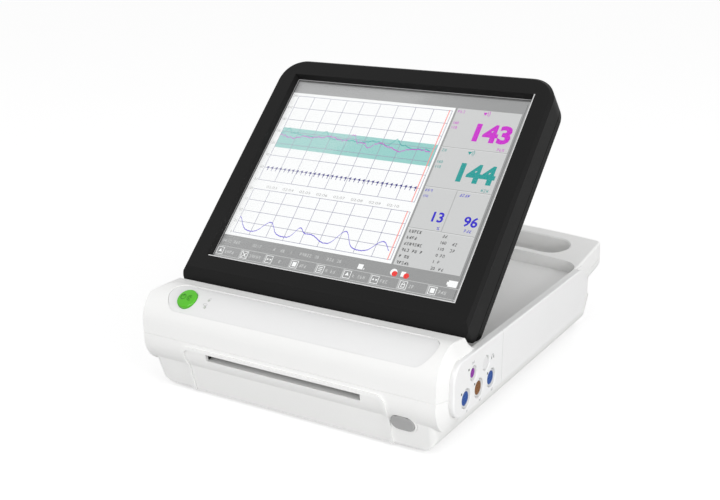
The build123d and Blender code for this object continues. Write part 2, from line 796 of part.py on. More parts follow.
def shadow_line():
    """Parting line between the display's two shells."""
    z = window_recess - bezel_depth
    ring = display_outline(2, -60) - display_outline(-0.6, -60)
    return extrude(Plane.XY.offset(z - 0.4) * ring, amount=0.8)


def display_bezel():
    """Front frame of the display."""
    tip = -bezel_bottom - chin_height
    block = extrude(Plane.XY.offset(window_recess - bezel_depth) * display_outline(0, tip), amount=bezel_depth)
    top = block.faces().sort_by(Axis.Z)[-1]
    rim_edges = top.edges().filter_by(lambda e: e.center().Y > tip + 1)
    block = chamfer(rim_edges, 2.8)
    block = block & chin_cutter(0)
    space = extrude(
        Plane.XY.offset(window_recess - bezel_depth - 1) * display_outline(-display_wall, tip),
        amount=bezel_depth + 1 - window_recess + 0.05)
    space = space & chin_cutter(-2.3)
    lip = Plane.XY.offset(-0.0) * Pos(0, window_height / 2) * Rectangle(window_width, window_height)
    mouth = Plane.XY.offset(window_recess + 0.01) * Pos(0, window_height / 2) * Rectangle(
        window_width + 2 * mouth_flare, window_height + 2 * mouth_flare)
    frame = block - space - loft([lip, mouth])
    return hinge_notches(frame - shadow_line())


def display_glass():
    """Clear cover over the panel."""
    return Pos(0, window_height / 2, -1.0) * Box(window_width + 7.4, window_height + 5.4, 1.9)


def lcd_panel():
    """Liquid crystal module with its metal frame."""
    body = Pos(0, window_height / 2, -6.2) * Box(window_width + 14, window_height + 5.6, 8.0)
    connector = Pos(-60, 20, -11.0) * Box(40, 6, 1.9)
    return body + connector


def display_cover():
    """Rear cover of the display."""
    tip = -bezel_bottom - chin_height
    top = window_recess - bezel_depth
    low = tip + 10.0
    block = extrude(Plane.XY.offset(top - cover_edge_depth) * display_outline(0, low), amount=cover_edge_depth)
    back = block.faces().sort_by(Axis.Z)[0]
    block = fillet(back.edges(), cover_round)
    reach = cover_edge_depth + bezel_depth - window_recess + hinge_below
    turn = Pos(0, hinge_along, hinge_below) * Rot(0, 90, 0) * Cylinder(reach, 400)
    block = block & (turn + box(-200, 200, hinge_along, 300, -60, 20))
    bulge_plan = display_outline(-12, 14.0)
    bulge = extrude(Plane.XY.offset(top - cover_edge_depth + 1) * bulge_plan, amount=-cover_bulge - 1)
    bulge = fillet(bulge.faces().sort_by(Axis.Z)[0].edges(), 3.0)
    block = block + bulge
    space = extrude(
        Plane.XY.offset(top - cover_edge_depth + display_wall) * display_outline(-6.0, low),
        amount=cover_edge_depth)
    space = space & (
        Pos(0, hinge_along, hinge_below) * Rot(0, 90, 0) * Cylinder(reach - display_wall, 400)
        + box(-200, 200, hinge_along, 300, -60, 20))
    inner = extrude(
        Plane.XY.offset(top - cover_edge_depth - cover_bulge + display_wall) * display_outline(-16, 14.0),
        amount=cover_bulge + 1)
    return hinge_notches(block - space - inner - shadow_line())


def display_board():
    """Driver board behind the panel."""
    board = Pos(30, 90, -14.0) * Box(150, 84, 1.6)
    for x, y, w in ((0, 100, 22), (46, 84, 16), (74, 112, 12)):
        board = board + Pos(x, y, -15.6) * Box(w, w, 1.8)
    for x in (-38, 98):
        for y in (54, 126):
            board = board + Pos(x, y, -11.8) * Cylinder(2.6, 3.0)
    return board


def hinge_towers():
    """Two steel knuckles that stand on the tray floor and carry the display."""
    out = []
    for x in hinge_xs():
        head = rod(4.2, x - 8, x + 8, hinge_y, hinge_z)
        stem = box(x - 8, x + 8, hinge_y - 3.6, hinge_y + 3.6, tray_floor_z + 2, hinge_z)
        flange = box(x - 12, x + 12, hinge_y - 6.6, hinge_y + 12, tray_floor_z, tray_floor_z + 2.4)
        tower = head + stem + flange
        out.append(tower - rod(pin_radius + running, x - 20, x + 20, hinge_y, hinge_z))
    return out


def hinge_lugs():
    """The display's own knuckles, on a plate behind the panel."""
    back = -10.3
    out = []
    for x in hinge_xs():
        lug = Pos(x, 2.0, back - 1.4) * Box(36, 16, 2.8)
        lug = lug - Pos(x, -5.2, back - 1.4) * Box(17.6, 4.0, 4.0)
        for side in (-1, 1):
            middle = x + side * 13.5
            ear = Pos(middle, hinge_along, hinge_below) * Rot(0, 90, 0) * Cylinder(3.6, 8.0)
            arm = Pos(middle, -9.0, (hinge_below + back - 2.8) / 2) * Box(8.0, 9.0, hinge_below - back + 2.8)
            lug = lug + ear + arm
        bore = Pos(x, hinge_along, hinge_below) * Rot(0, 90, 0) * Cylinder(pin_radius + running, 60)
        out.append(lug - bore)
    return out


def hinge_pins():
    """Pins through the knuckles, held by the display's lugs."""
    return [rod(pin_radius, x - 18.5, x + 18.5, hinge_y, hinge_z) for x in hinge_xs()]


def tray_pads():
    """Rubber pads that the folded display rests on."""
    top = hinge_z + hinge_below * -1 - bezel_depth + window_recess - cover_edge_depth - cover_bulge
    out = []
    for side in (-1, 1):
        for y in (hinge_y + 60, hinge_y + 160):
            out.append(post(6.0, side * pad_side, y, tray_floor_z, top - face_gap))
    return out


# ---- power button --------------------------------------------------------
def power_button():
    """Round green button with a shallow dome."""
    body = Pos(0, 0, -3.2) * Cylinder(power_diameter / 2, 9.6)
    body = body & (Pos(0, 0, 1.5 - 55) * Rot(90, 0, 0) * Sphere(55))
    top = body.edges().filter_by(GeomType.CIRCLE).group_by(Axis.Z)[-1]
    body = chamfer(top, 0.6) + Pos(0, 0, -8.6) * Cylinder(2.4, 3.2)
    return roll_spot(power_x, power_angle) * body


def power_spring():
    """Return spring under the power button."""
    place = roll_spot(power_x, power_angle)
    return place * coil(3.6, 0.35, -13.6, -8.1, 4)


def coil(radius, wire, z0, z1, turns):
    """A helical spring between two heights."""
    height = z1 - z0 - 2 * wire
    path = Pos(0, 0, z0 + wire) * Helix(pitch=height / turns, height=height, radius=radius)
    start = path @ 0
    section = Plane(origin=start, z_dir=path % 0) * Circle(wire)
    return sweep(section, path=path, is_frenet=True)


def power_switch():
    """Push switch on its bridge, under the power button."""
    low = -10.2 - power_travel - 2.1
    shape = Pos(0, 0, low - 0.8) * Box(37, 13, 1.6)
    shape = shape + Pos(0, 0, low + 0.99) * Cylinder(2.2, 2.0)
    for side in (-1, 1):
        shape = shape + Pos(side * 17.0, 0, (low - 3.5) / 2) * Box(3, 13, -low - 3.5)
    return roll_spot(power_x, power_angle) * shape


def light_pipes():
    """Two small indicator lenses in the inset."""
    low = inset_depth - inset_sheet
    return [place * Pos(0, 0, -2.3 - low) * Cylinder(light_radius, 5.0) for place in light_spots()]


# ---- latch ---------------------------------------------------------------
def latch_side(gap):
    """Everything to the right of the bead beside the latch."""
    return box(drawer_right + drawer_gap + bead_width + 0.3 + gap, 300, -400, 400, -50, 200)


def latch_surround():
    """Frame round the latch button."""
    ring = extrude(Plane.XY.offset(-1.1) * latch_oval(surround_grow - 0.2), amount=1.9)
    ring = fillet(ring.edges().group_by(Axis.Z)[-1], 0.6)
    hole = extrude(Plane.XY.offset(-10) * latch_oval(button_gap), amount=30)
    return (latch_place() * (ring - hole)) & latch_side(0.2)


def latch_button():
    """Button that frees the paper drawer."""
    body = extrude(Plane.XY.offset(-5.0) * latch_oval(0), amount=6.6)
    body = fillet(body.edges().group_by(Axis.Z)[-1], 1.0)
    for k in (-1, 1):
        for side in (-1, 1):
            body = body - Pos(k * 5.2, side * (latch_height / 2), 0.8) * Box(1.3, 1.8, 3.0)
    return latch_place() * (body + Pos(0, 0, -8.0) * Cylinder(2.6, 7.0))


def latch_spring():
    """Return spring behind the latch button."""
    return latch_place() * coil(4.2, 0.4, -13.4, -5.1, 4)


def latch_bracket():
    """Bracket that carries the latch spring and guides the stem."""
    shape = Pos(0, 0, -14.6) * Box(26.8, 10, 2.0)
    for side in (-1, 1):
        shape = shape + Pos(side * 12.4, 0, -9.2) * Box(2.0, 10, 12.8)
    return latch_place() * (shape - Pos(0, 0, -14) * Cylinder(2.6 + running, 20))


# ---- paper drawer --------------------------------------------------------
def drawer_front():
    """Curved front of the drawer, notched at the top for the paper, with its ramp."""
    skin = front_skin(0) - front_skin(-3.0)
    panel = skin & opening_prism(0, front_y - 20, roll_y)
    panel = panel & box(-200, 200, -400, 400, foot_height + 0.3, 200)
    x0, x1 = paper_slot_left, paper_slot_right
    panel = panel - box(x0, x1, front_y - 5, front_y + 30, paper_slot_z, 200)
    back = front_y + 14.0
    ramp = [
        (front_y + 1.5, paper_slot_z - 3.2), (front_y + 1.5, paper_slot_z), (back, paper_slot_z + 1.2),
        (back, paper_slot_z - 1.0),
    ]
    return panel + (side_prism(ramp, x0 + 0.2, x1 - 0.2) & front_skin(-0.4))


def drawer_box():
    """Tray behind the drawer's front, with the platen's bearings."""
    y0 = front_y + 12.0
    y1 = y0 + drawer_length
    half = drawer_tray_half
    tray = box(-half, half, y0, y1, floor_z + face_gap, 27)
    tray = tray - box(-half + 2, half - 2, y0 + 2, y1 - 2, floor_z + face_gap + 2, 60)
    for side in (-1, 1):
        x = side * (half - 2)
        ear = box(x - 2, x + 2, platen_y - 8, platen_y + 8, 12, platen_z)
        ear = ear + rod(7.0, x - 2, x + 2, platen_y, platen_z)
        tray = tray + ear - rod(4.0 + running, x - 5, x + 5, platen_y, platen_z)
    tie = box(-half, half, front_y + 5.0, y0 + 1, 8, 22)
    return trim_to_front(tray + tie)


def trim_to_front(shape):
    """Keep only what lies behind the drawer's front."""
    keep = front_skin(-3.06) + box(-200, 200, roll_y - 1, 400, 0, 60)
    return shape & keep


def platen_roller():
    """Rubber platen on its steel shaft."""
    return rod(platen_radius, -platen_half, platen_half, platen_y, platen_z) - rod(
        3.0, -platen_half - 1, platen_half + 1, platen_y, platen_z)


def platen_shaft():
    """Shaft of the platen, stepped for its bearings and gear."""
    shaft = rod(3.0, -drawer_tray_half - 2, gear_x1 + 1.0, platen_y, platen_z)
    for side in (-1, 1):
        x = side * (drawer_tray_half - 2)
        shaft = shaft + rod(4.0, x - 2, x + 2, platen_y, platen_z)
    return shaft


def gear(teeth, module, x0, x1, y, z, bore, turn):
    """A spur gear on an axis along X, with teeth cut back for easy running."""
    pitch_r = teeth * module / 2
    root_r = pitch_r - 1.15 * module
    tip_r = pitch_r + 0.85 * module
    disc = Circle(root_r)
    step = 360.0 / teeth
    for k in range(teeth):
        a = radians(k * step + turn)
        base = radians(step * 0.30)
        tip = radians(step * 0.13)
        corners = []
        for r, d in ((root_r - 0.3, -base), (root_r - 0.3, base), (tip_r, tip), (tip_r, -tip)):
            corners.append((r * cos(a + d), r * sin(a + d)))
        disc = disc + make_face(Polyline(*corners, close=True))
    wheel = extrude(disc - Circle(bore), amount=x1 - x0)
    return Plane.YZ.offset(x0) * Pos(y, z) * wheel


gear_x0 = drawer_tray_half + 1.4
gear_x1 = gear_x0 + 4.0
arm_x = gear_x0 - 0.8            # face of the frame's arm beside the gears
idler_y = platen_y + platen_teeth * gear_module
pinion_reach = (platen_teeth + pinion_teeth) * gear_module / 2
pinion_y = idler_y + pinion_reach * cos(radians(45))
pinion_z = platen_z + pinion_reach * sin(radians(45))
idler_turn = 180 + 180 / platen_teeth
pinion_turn = 225 - (idler_turn - 45) * platen_teeth / pinion_teeth + 180 / pinion_teeth


def platen_gear():
    """Gear on the platen's shaft."""
    return gear(platen_teeth, gear_module, gear_x0, gear_x1, platen_y, platen_z, 3.0, 0.0)


def idler_gear():
    """Idler between the motor's pinion and the platen's gear."""
    return gear(platen_teeth, gear_module, gear_x0, gear_x1, idler_y, platen_z, 2.0 + running, idler_turn)


def pinion():
    """Pinion on the motor's shaft."""
    return gear(pinion_teeth, gear_module, gear_x0, gear_x1, pinion_y, pinion_z, 1.5, pinion_turn)


def printer_frame():
    """Beam over the drawer that carries the print head, the motor and the idler."""
    y0, y1 = front_y + 14.0, front_y + 46.0
    top = seam_z - 2.1
    shape = box(-106, 106, y0, y1, top - 4.4, top)
    for leg in mirrored(box(106, 112, y0 + 18, y1 + 10, floor_z, top)):
        shape = shape + leg
    shape = shape + box(arm_x - 3, arm_x, y1 - 5, pinion_y + 13, 28.2, top)
    shape = shape + rod(2.0, arm_x - 1, gear_x1 + 2.0, idler_y, platen_z)
    return shape - rod(5.0, arm_x - 9, arm_x + 0.5, pinion_y, pinion_z)


def idler_clip():
    """Clip that keeps the idler on its pin."""
    clip = rod(3.6, gear_x1 + 0.4, gear_x1 + 1.4, idler_y, platen_z)
    return clip - rod(2.0, gear_x1, gear_x1 + 3, idler_y, platen_z)


def print_head():
    """Thermal head with its heat sink."""
    low = platen_z + platen_radius + face_gap
    top = seam_z - 6.5
    head = box(-platen_half, platen_half, platen_y - 5, platen_y + 11, low, low + 2.2)
    sink = box(-platen_half, platen_half, platen_y - 2, platen_y + 13, low + 2.2, top)
    for k in range(11):
        x = -70 + 14 * k
        sink = sink - box(x - 2, x + 2, platen_y + 6, platen_y + 14, low + 2.6, top - 0.6)
    return head + sink


def printer_motor():
    """Stepper motor that drives the platen."""
    can = rod(11.0, arm_x - 30, arm_x - 3, pinion_y, pinion_z)
    can = can.fillet(1.0, can.edges().filter_by(GeomType.CIRCLE))
    return can + rod(4.6, arm_x - 4, arm_x - 0.6, pinion_y, pinion_z)


def motor_shaft():
    """Shaft of the motor, turning with its pinion."""
    return rod(1.5, arm_x - 0.5, gear_x1 + 1.0, pinion_y, pinion_z)


def paper_pack():
    """Folded recording paper in the drawer."""
    y0 = front_y + 24.0
    z0 = floor_z + face_gap + 2
    return box(-paper_width / 2, paper_width / 2, y0, y0 + paper_length, z0, z0 + paper_height)


def drawer_rails():
    """Guide strips beside the drawer on the base floor."""
    y0 = front_y + 22.0
    rail = box(drawer_tray_half + 0.4, drawer_tray_half + 3.4, y0, y0 + drawer_length, floor_z, 11)
    return mirrored(rail)


# ---- electronics and rear ------------------------------------------------
def main_board():
    """Main circuit board with its larger parts."""
    y1 = split_y - 3.0
    board = box(-130, 68, y1 - 116, y1, board_z, board_z + 1.6)
    board = board - box(-140, -70, y1 - 130, y1 - 72, board_z - 1, board_z + 3)
    for x, y in board_posts():
        board = board - post(screw_radius + 0.2, x, y, board_z - 1, board_z + 3)
    for x, y, w, h in ((-20, 50, 30, 2.4), (30, 64, 20, 2.0), (-40, 92, 24, 3.0), (34, 100, 14, 5.0)):
        board = board + box(x - w / 2, x + w / 2, y1 - y - w / 2, y1 - y + w / 2, board_z + 1.5, board_z + 1.6 + h)
    return board


def power_supply():
    """Mains power supply in its tray."""
    y1 = bay_y - 24.0
    body = box(-110, -14, y1 - 84, y1, floor_z, floor_z + 2)
    body = body + box(-110, -108, y1 - 84, y1, floor_z, 34) + box(-16, -14, y1 - 84, y1, floor_z, 34)
    for x, y, r, h in ((-90, 20, 9, 24), (-64, 20, 9, 24), (-34, 24, 7, 20)):
        body = body + post(r, x, y1 - y, floor_z + 1.5, floor_z + 2 + h)
    core = box(-92, -56, y1 - 74, y1 - 40, floor_z + 1.5, floor_z + 26)
    coil_block = box(-46, -24, y1 - 70, y1 - 42, floor_z + 1.5, floor_z + 20)
    return body + core + coil_block


def battery_pack():
    """Rechargeable pack behind the battery door."""
    x0, x1, y0, y1 = battery_place()
    z0 = floor_z - 0.5
    inset = lip_width + 0.5
    pack = box(x0 + inset, x1 - inset, y0 + inset, y1 - inset, z0, z0 + battery_height)
    return fillet(pack.edges().filter_by(Axis.Z), 3.0)


def battery_door():
    """Cover under the battery."""
    x0, x1, y0, y1 = battery_place()
    g = 0.25
    door = box(x0 + g, x1 - g, y0 + g, y1 - g, foot_height, floor_z - 0.6)
    for x in (x0 + 10, x1 - 10):
        door = door - post(3.1, x, y0 + 3.4, 0, foot_height + 1.1)
        door = door - post(screw_radius + 0.3, x, y0 + 3.4, 0, 10)
    return door


def rear_panel():
    """Connector panel in the rear bay."""
    plate = box(-103.8, 103.8, bay_y - wall, bay_y, ledge_z + 2.2, 43.8)
    for x0, x1, z0, z1 in rear_holes():
        plate = plate - box(x0, x1, bay_y - 20, bay_y + 20, z0, z1)
    return plate - Pos(-52, bay_y, 30) * Rot(90, 0, 0) * Cylinder(3.1, 20)


def rear_holes():
    """Openings of the connector panel: mains, network, serial, two bus sockets."""
    return (
        (-96.0, -68.6, 21.4, 41.0), (-24.0, -7.6, 24.0, 38.0),
        (6.0, 37.0, 25.0, 37.0), (52.0, 66.0, 27.0, 33.4), (76.0, 90.0, 27.0, 33.4),
    )


def mains_inlet():
    """Three-pole appliance inlet."""
    x0, x1, z0, z1 = rear_holes()[0]
    flange = box(x0 - 3, x1 + 3, bay_y, bay_y + 2.4, z0 - 2, z1 + 2)
    body = box(x0 + 0.2, x1 - 0.2, bay_y - 18, bay_y + 1, z0 + 0.2, z1 - 0.2)
    cup = box(x0 + 2.2, x1 - 2.2, bay_y - 14, bay_y + 5, z0 + 2.6, z1 - 2.6)
    return flange + body - cup


def mains_pins():
    """Blades of the inlet."""
    x0, x1, z0, z1 = rear_holes()[0]
    xm, zm = (x0 + x1) / 2, (z0 + z1) / 2
    out = []
    for x, z in ((xm - 7, zm - 1.5), (xm, zm + 2.5), (xm + 7, zm - 1.5)):
        out.append(box(x - 1, x + 1, bay_y - 14, bay_y - 1, z - 2, z + 2))
    return out


def ground_post():
    """Equipotential stud with its nut."""
    stud = Pos(-52, bay_y - wall + 6.0, 30) * Rot(90, 0, 0) * Cylinder(3.0, 16)
    nut = Pos(-52, bay_y + 2.0, 30) * Rot(90, 0, 0) * extrude(RegularPolygon(5.5, 6), amount=2.0, both=True)
    return stud + nut


def socket_block(index, depth):
    """A board connector seen through the rear panel."""
    x0, x1, z0, z1 = rear_holes()[index]
    g = 0.2
    body = box(x0 + g, x1 - g, bay_y - depth, bay_y + 0.6, z0 + g, z1 - g)
    cup = box(x0 + 1.4, x1 - 1.4, bay_y - depth + 4, bay_y + 5, z0 + 1.4, z1 - 1.4)
    tongue = box(x0 + 3.2, x1 - 3.2, bay_y - depth + 3, bay_y - 1.5, (z0 + z1) / 2 - 0.8, (z0 + z1) / 2 + 0.8)
    return body - cup + tongue


def case_screws():
    """Screws that hold the boards and the battery door."""
    out = []
    for x, y in board_posts():
        head = post(2.8, x, y, board_z + 1.6, board_z + 3.4)
        out.append(head + post(screw_radius - 0.05, x, y, board_z - 7, board_z + 2))
    x0, x1, y0, y1 = battery_place()
    for x in (x0 + 10, x1 - 10):
        y = y0 + 3.4
        head = post(2.8, x, y, foot_height + 0.1, foot_height + 1.1)
        out.append(head + post(screw_radius - 0.05, x, y, foot_height + 0.6, floor_z + 1.4))
    return out


def handle_grip():
    """Underside of the handle."""
    slab = handle_slab() & below_deck(handle_seam)
    slab = slab - box(-300, 300, -400, split_y, -50, 200)
    slab = slab - slot_tool(slot_step)
    hollow = extrude(
        Plane.XY.offset(-handle_thickness + wall) * handle_plan(4.0), amount=handle_thickness - wall - handle_seam + 1)
    hollow = deck_plane * hollow - slot_tool(slot_step + wall)
    hollow = hollow - box(-300, 300, -400, split_y + wall, -50, 200)
    return slab - hollow - slab_groove()


def build():
    """Write every sub-part."""
    os.makedirs("parts", exist_ok=True)
    save("top_cover", top_cover())
    save("base_tub", base_tub())
    save("handle_grip", handle_grip())
    save("front_inset", front_inset())
    save("right_front_panel", side_panel(1, False))
    save("right_rear_panel", side_panel(1, True))
    save("left_front_panel", side_panel(-1, False))
    save("left_rear_panel", side_panel(-1, True))
    save("rubber_feet", feet())
    save("display_bezel", in_display(display_bezel()))
    save("display_glass", in_display(display_glass()))
    save("lcd_panel", in_display(lcd_panel()))
    save("display_cover", in_display(display_cover()))
    save("display_board", in_display(display_board()))
    save("hinge_towers", hinge_towers())
    save("hinge_lugs", [in_display(lug) for lug in hinge_lugs()])
    save("hinge_pins", hinge_pins())
    save("tray_pads", tray_pads())
    save("power_button", power_button())
    save("power_spring", power_spring())
    save("power_switch", power_switch())
    save("light_pipes", light_pipes())
    save("latch_surround", latch_surround())
    save("latch_button", latch_button())
    save("latch_spring", latch_spring())
    save("latch_bracket", latch_bracket())
    save("drawer_front", drawer_front())
    save("drawer_box", drawer_box())
    save("drawer_rails", drawer_rails())
    save("paper_pack", paper_pack())
    save("platen_roller", platen_roller())
    save("platen_shaft", platen_shaft())
    save("platen_gear", platen_gear())
    save("idler_gear", idler_gear())
    save("idler_clip", idler_clip())
    save("motor_pinion", pinion())
    save("motor_shaft", motor_shaft())
    save("printer_motor", printer_motor())
    save("printer_frame", printer_frame())
    save("print_head", print_head())
    save("speaker", speaker())
    save("port_board", port_board())
    front, middle, rear, marker, spare = port_places()
    save("port_large_shells", [port_shell(*place) for place in (front, middle, rear)])
    save("port_small_shells", [port_shell(*marker), port_shell(*spare, open_port=False)])
    save("port_blue_inserts", [port_insert(*place) for place in (front, rear)])
    save("port_brown_insert", port_insert(*middle))
    save("port_purple_insert", port_insert(*marker))
    save("port_blank_plug", blank_plug(*spare[:2]))
    save("main_board", main_board())
    save("power_supply", power_supply())
    save("battery_pack", battery_pack())
    save("battery_door", battery_door())
    save("rear_panel", rear_panel())
    save("mains_inlet", mains_inlet())
    save("mains_pins", mains_pins())
    save("ground_post", ground_post())
    save("network_socket", socket_block(1, 16))
    save("serial_socket", socket_block(2, 12))
    save("bus_sockets", [socket_block(3, 14), socket_block(4, 14)])
    save("case_screws", case_screws())


build()
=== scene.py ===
import json
import random
from math import cos, exp, pi, radians, sin

import bmesh
import bpy
from mathutils import Matrix, Vector


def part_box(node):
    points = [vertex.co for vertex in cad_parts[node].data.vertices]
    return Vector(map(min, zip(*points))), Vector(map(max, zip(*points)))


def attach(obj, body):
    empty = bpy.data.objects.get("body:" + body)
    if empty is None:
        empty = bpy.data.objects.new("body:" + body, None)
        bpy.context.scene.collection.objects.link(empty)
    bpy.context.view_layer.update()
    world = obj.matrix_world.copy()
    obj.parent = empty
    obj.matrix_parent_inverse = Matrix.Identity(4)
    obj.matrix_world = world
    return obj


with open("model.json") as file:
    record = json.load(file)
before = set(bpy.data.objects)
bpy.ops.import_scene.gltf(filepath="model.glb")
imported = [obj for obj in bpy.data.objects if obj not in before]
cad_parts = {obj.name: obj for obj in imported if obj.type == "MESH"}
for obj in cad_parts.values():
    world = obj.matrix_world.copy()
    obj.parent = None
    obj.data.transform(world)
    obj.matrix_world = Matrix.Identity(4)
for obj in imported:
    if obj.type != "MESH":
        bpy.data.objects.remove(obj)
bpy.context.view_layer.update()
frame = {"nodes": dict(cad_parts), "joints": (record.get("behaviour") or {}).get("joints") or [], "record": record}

mm = 0.001
scene = bpy.context.scene
scene.view_settings.view_transform = "Standard"
joints = {joint["name"]: joint for joint in frame["joints"]}
slotOf = {part["node"]: part["material_slot"] for part in frame["record"]["subparts"]}


# one value on its way through a material's nodes
class Wire:
    def __init__(self, tree, socket):
        self.tree = tree
        self.socket = socket

    def math(self, operation, *values, clamp=False):
        node = self.tree.nodes.new("ShaderNodeMath")
        node.operation = operation
        node.use_clamp = clamp
        for place, value in enumerate(values):
            if isinstance(value, Wire):
                self.tree.links.new(value.socket, node.inputs[place])
            else:
                node.inputs[place].default_value = value
        return Wire(self.tree, node.outputs[0])

    def __add__(self, other):
        return self.math("ADD", self, other)

    def __mul__(self, other):
        return self.math("MULTIPLY", self, other)

    def __sub__(self, other):
        return self.math("SUBTRACT", self, other)

    def __rsub__(self, other):
        return self.math("SUBTRACT", other, self)

    def __truediv__(self, other):
        return self.math("DIVIDE", self, other)

    def __gt__(self, other):
        return self.math("GREATER_THAN", self, other)

    def __lt__(self, other):
        return self.math("LESS_THAN", self, other)

    __radd__ = __add__
    __rmul__ = __mul__

    def sine(self):
        return self.math("SINE", self)

    def repeat(self, step):
        return self.math("FRACT", self / step)

    def clamp(self):
        return self.math("ADD", self, 0.0, clamp=True)

    def power(self, exponent):
        return self.math("POWER", self, exponent)


# one material under construction
class Finish:
    def __init__(self, name):
        self.material = bpy.data.materials.new(name)
        self.material.use_nodes = True
        self.tree = self.material.node_tree
        self.tree.nodes.clear()

    def node(self, kind, settings=None, sockets=None, out=0):
        made = self.tree.nodes.new(kind)
        for name, value in (settings or {}).items():
            setattr(made, name, value)
        for name, value in (sockets or {}).items():
            if isinstance(value, Wire):
                self.tree.links.new(value.socket, made.inputs[name])
            else:
                made.inputs[name].default_value = value
        return Wire(self.tree, made.outputs[out])

    def place(self, centre=None, turn=None):
        # metres in the object's own space, moved and turned if asked
        spot = self.node("ShaderNodeTexCoord", out="Object")
        if centre is None and turn is None:
            return spot
        moved = self.node("ShaderNodeVectorMath", {"operation": "SUBTRACT"},
                          {0: spot, 1: centre or (0, 0, 0)})
        return self.node("ShaderNodeMapping", None, {"Vector": moved, "Rotation": turn or (0, 0, 0)})

    def split(self, vector):
        parts = self.tree.nodes.new("ShaderNodeSeparateXYZ")
        self.tree.links.new(vector.socket, parts.inputs[0])
        return [Wire(self.tree, parts.outputs[k]) for k in range(3)]

    def noise(self, vector, scale, detail=2.0, roughness=0.5):
        return self.node("ShaderNodeTexNoise", None,
                         {"Vector": vector, "Scale": scale, "Detail": detail, "Roughness": roughness})

    def stretch(self, vector, factors):
        return self.node("ShaderNodeVectorMath", {"operation": "MULTIPLY"}, {0: vector, 1: factors})

    def mix(self, factor, low, high):
        return self.node("ShaderNodeMix", {"data_type": "RGBA"}, {0: factor, 6: low, 7: high}, out=2)

    def bump(self, height, strength, distance):
        return self.node("ShaderNodeBump", None,
                         {"Height": height, "Strength": strength, "Distance": distance})

    def shade(self, **sockets):
        named = {name.replace("_", " "): value for name, value in sockets.items()}
        return self.node("ShaderNodeBsdfPrincipled", None, named)

    def done(self, shader, kind="ShaderNodeOutputMaterial"):
        end = self.tree.nodes.new(kind)
        self.tree.links.new(shader.socket, end.inputs["Surface"])
        return self.material


def tint(code, level=1.0):
    # linear colour from a hex code
    parts = [int(code[k:k + 2], 16) / 255 for k in (1, 3, 5)]
    linear = [p / 12.92 if p <= 0.04045 else ((p + 0.055) / 1.055) ** 2.4 for p in parts]
    return (*[level * p for p in linear], 1.0)


def mouldedPlastic(name, look):
    # spark-eroded grain, slow flow marks in tone and gloss
    paint = Finish(name)
    spot = paint.place()
    grain = paint.noise(spot, look["grain"], 3.0, 0.6)
    flow = paint.noise(paint.stretch(spot, (1.0, 1.6, 1.3)), 13.0, 4.0, 0.55)
    speck = paint.noise(spot, look["grain"] * 0.21, 2.0)
    worn = (flow * 0.7 + speck * 0.3).clamp()
    colour = paint.mix(worn, tint(look["colour"]), tint(look["shade"]))
    rough = look["rough"] + (grain - 0.5) * 0.10 + (flow - 0.5) * 0.08
    normal = paint.bump(grain + 0.4 * speck, look["relief"], look["depth"])
    return paint.done(paint.shade(
        Base_Color=colour, Roughness=rough, Normal=normal,
        Specular_IOR_Level=look.get("gloss", 0.35), Coat_Weight=look.get("coat", 0.0), Coat_Roughness=0.2))


def drawnMetal(name, look):
    # fine drawing lines along one axis, with a mottled plating
    paint = Finish(name)
    spot = paint.place()
    lines = paint.noise(paint.stretch(spot, look["along"]), look["fine"], 4.0, 0.7)
    cloud = paint.noise(spot, 60.0, 3.0)
    colour = paint.mix((lines * 0.6 + cloud * 0.4).clamp(), tint(look["colour"]), tint(look["shade"]))
    rough = look["rough"] + (lines - 0.5) * 0.22 + (cloud - 0.5) * 0.10
    normal = paint.bump(lines, 0.25, 0.00003)
    return paint.done(paint.shade(Base_Color=colour, Roughness=rough, Normal=normal, Metallic=1.0))


def mouldedRubber(name, look):
    # matt rubber with a pale bloom and small pits
    paint = Finish(name)
    spot = paint.place()
    pits = paint.node("ShaderNodeTexVoronoi", None, {"Vector": spot, "Scale": look["pits"]})
    bloom = paint.noise(spot, 45.0, 4.0, 0.6)
    fine = paint.noise(spot, 2400.0, 2.0)
    colour = paint.mix(bloom.power(1.6), tint(look["colour"]), tint(look["shade"]))
    normal = paint.bump(pits * 0.6 + fine * 0.4, 0.35, 0.00006)
    return paint.done(paint.shade(Base_Color=colour, Roughness=0.78 + (bloom - 0.5) * 0.15, Normal=normal,
                                  Specular_IOR_Level=0.25))


def circuitBoard(name, look):
    # solder mask over copper runs, with tinned pads
    paint = Finish(name)
    spot = paint.place()
    x, y, z = paint.split(spot)
    lanes = paint.noise(paint.stretch(spot, (1.0, 0.12, 1.0)), 210.0, 1.0)
    runs = ((x * 1300.0 + lanes * 9.0).sine() > 0.35) * (lanes > 0.48)
    cross = ((y * 1100.0 + lanes * 7.0).sine() > 0.5) * (lanes < 0.46)
    copper = (runs + cross).clamp()
    pad = paint.node("ShaderNodeTexVoronoi", None, {"Vector": spot, "Scale": 260.0})
    tinned = pad < 0.16
    mask = paint.mix(copper, tint(look["colour"]), tint(look["copper"]))
    colour = paint.mix(tinned, mask, tint(look["pad"]))
    normal = paint.bump(copper * 0.5 + tinned, 0.5, 0.00005)
    rough = 0.38 - tinned * 0.1
    return paint.done(paint.shade(Base_Color=colour, Roughness=rough, Normal=normal, Metallic=tinned))


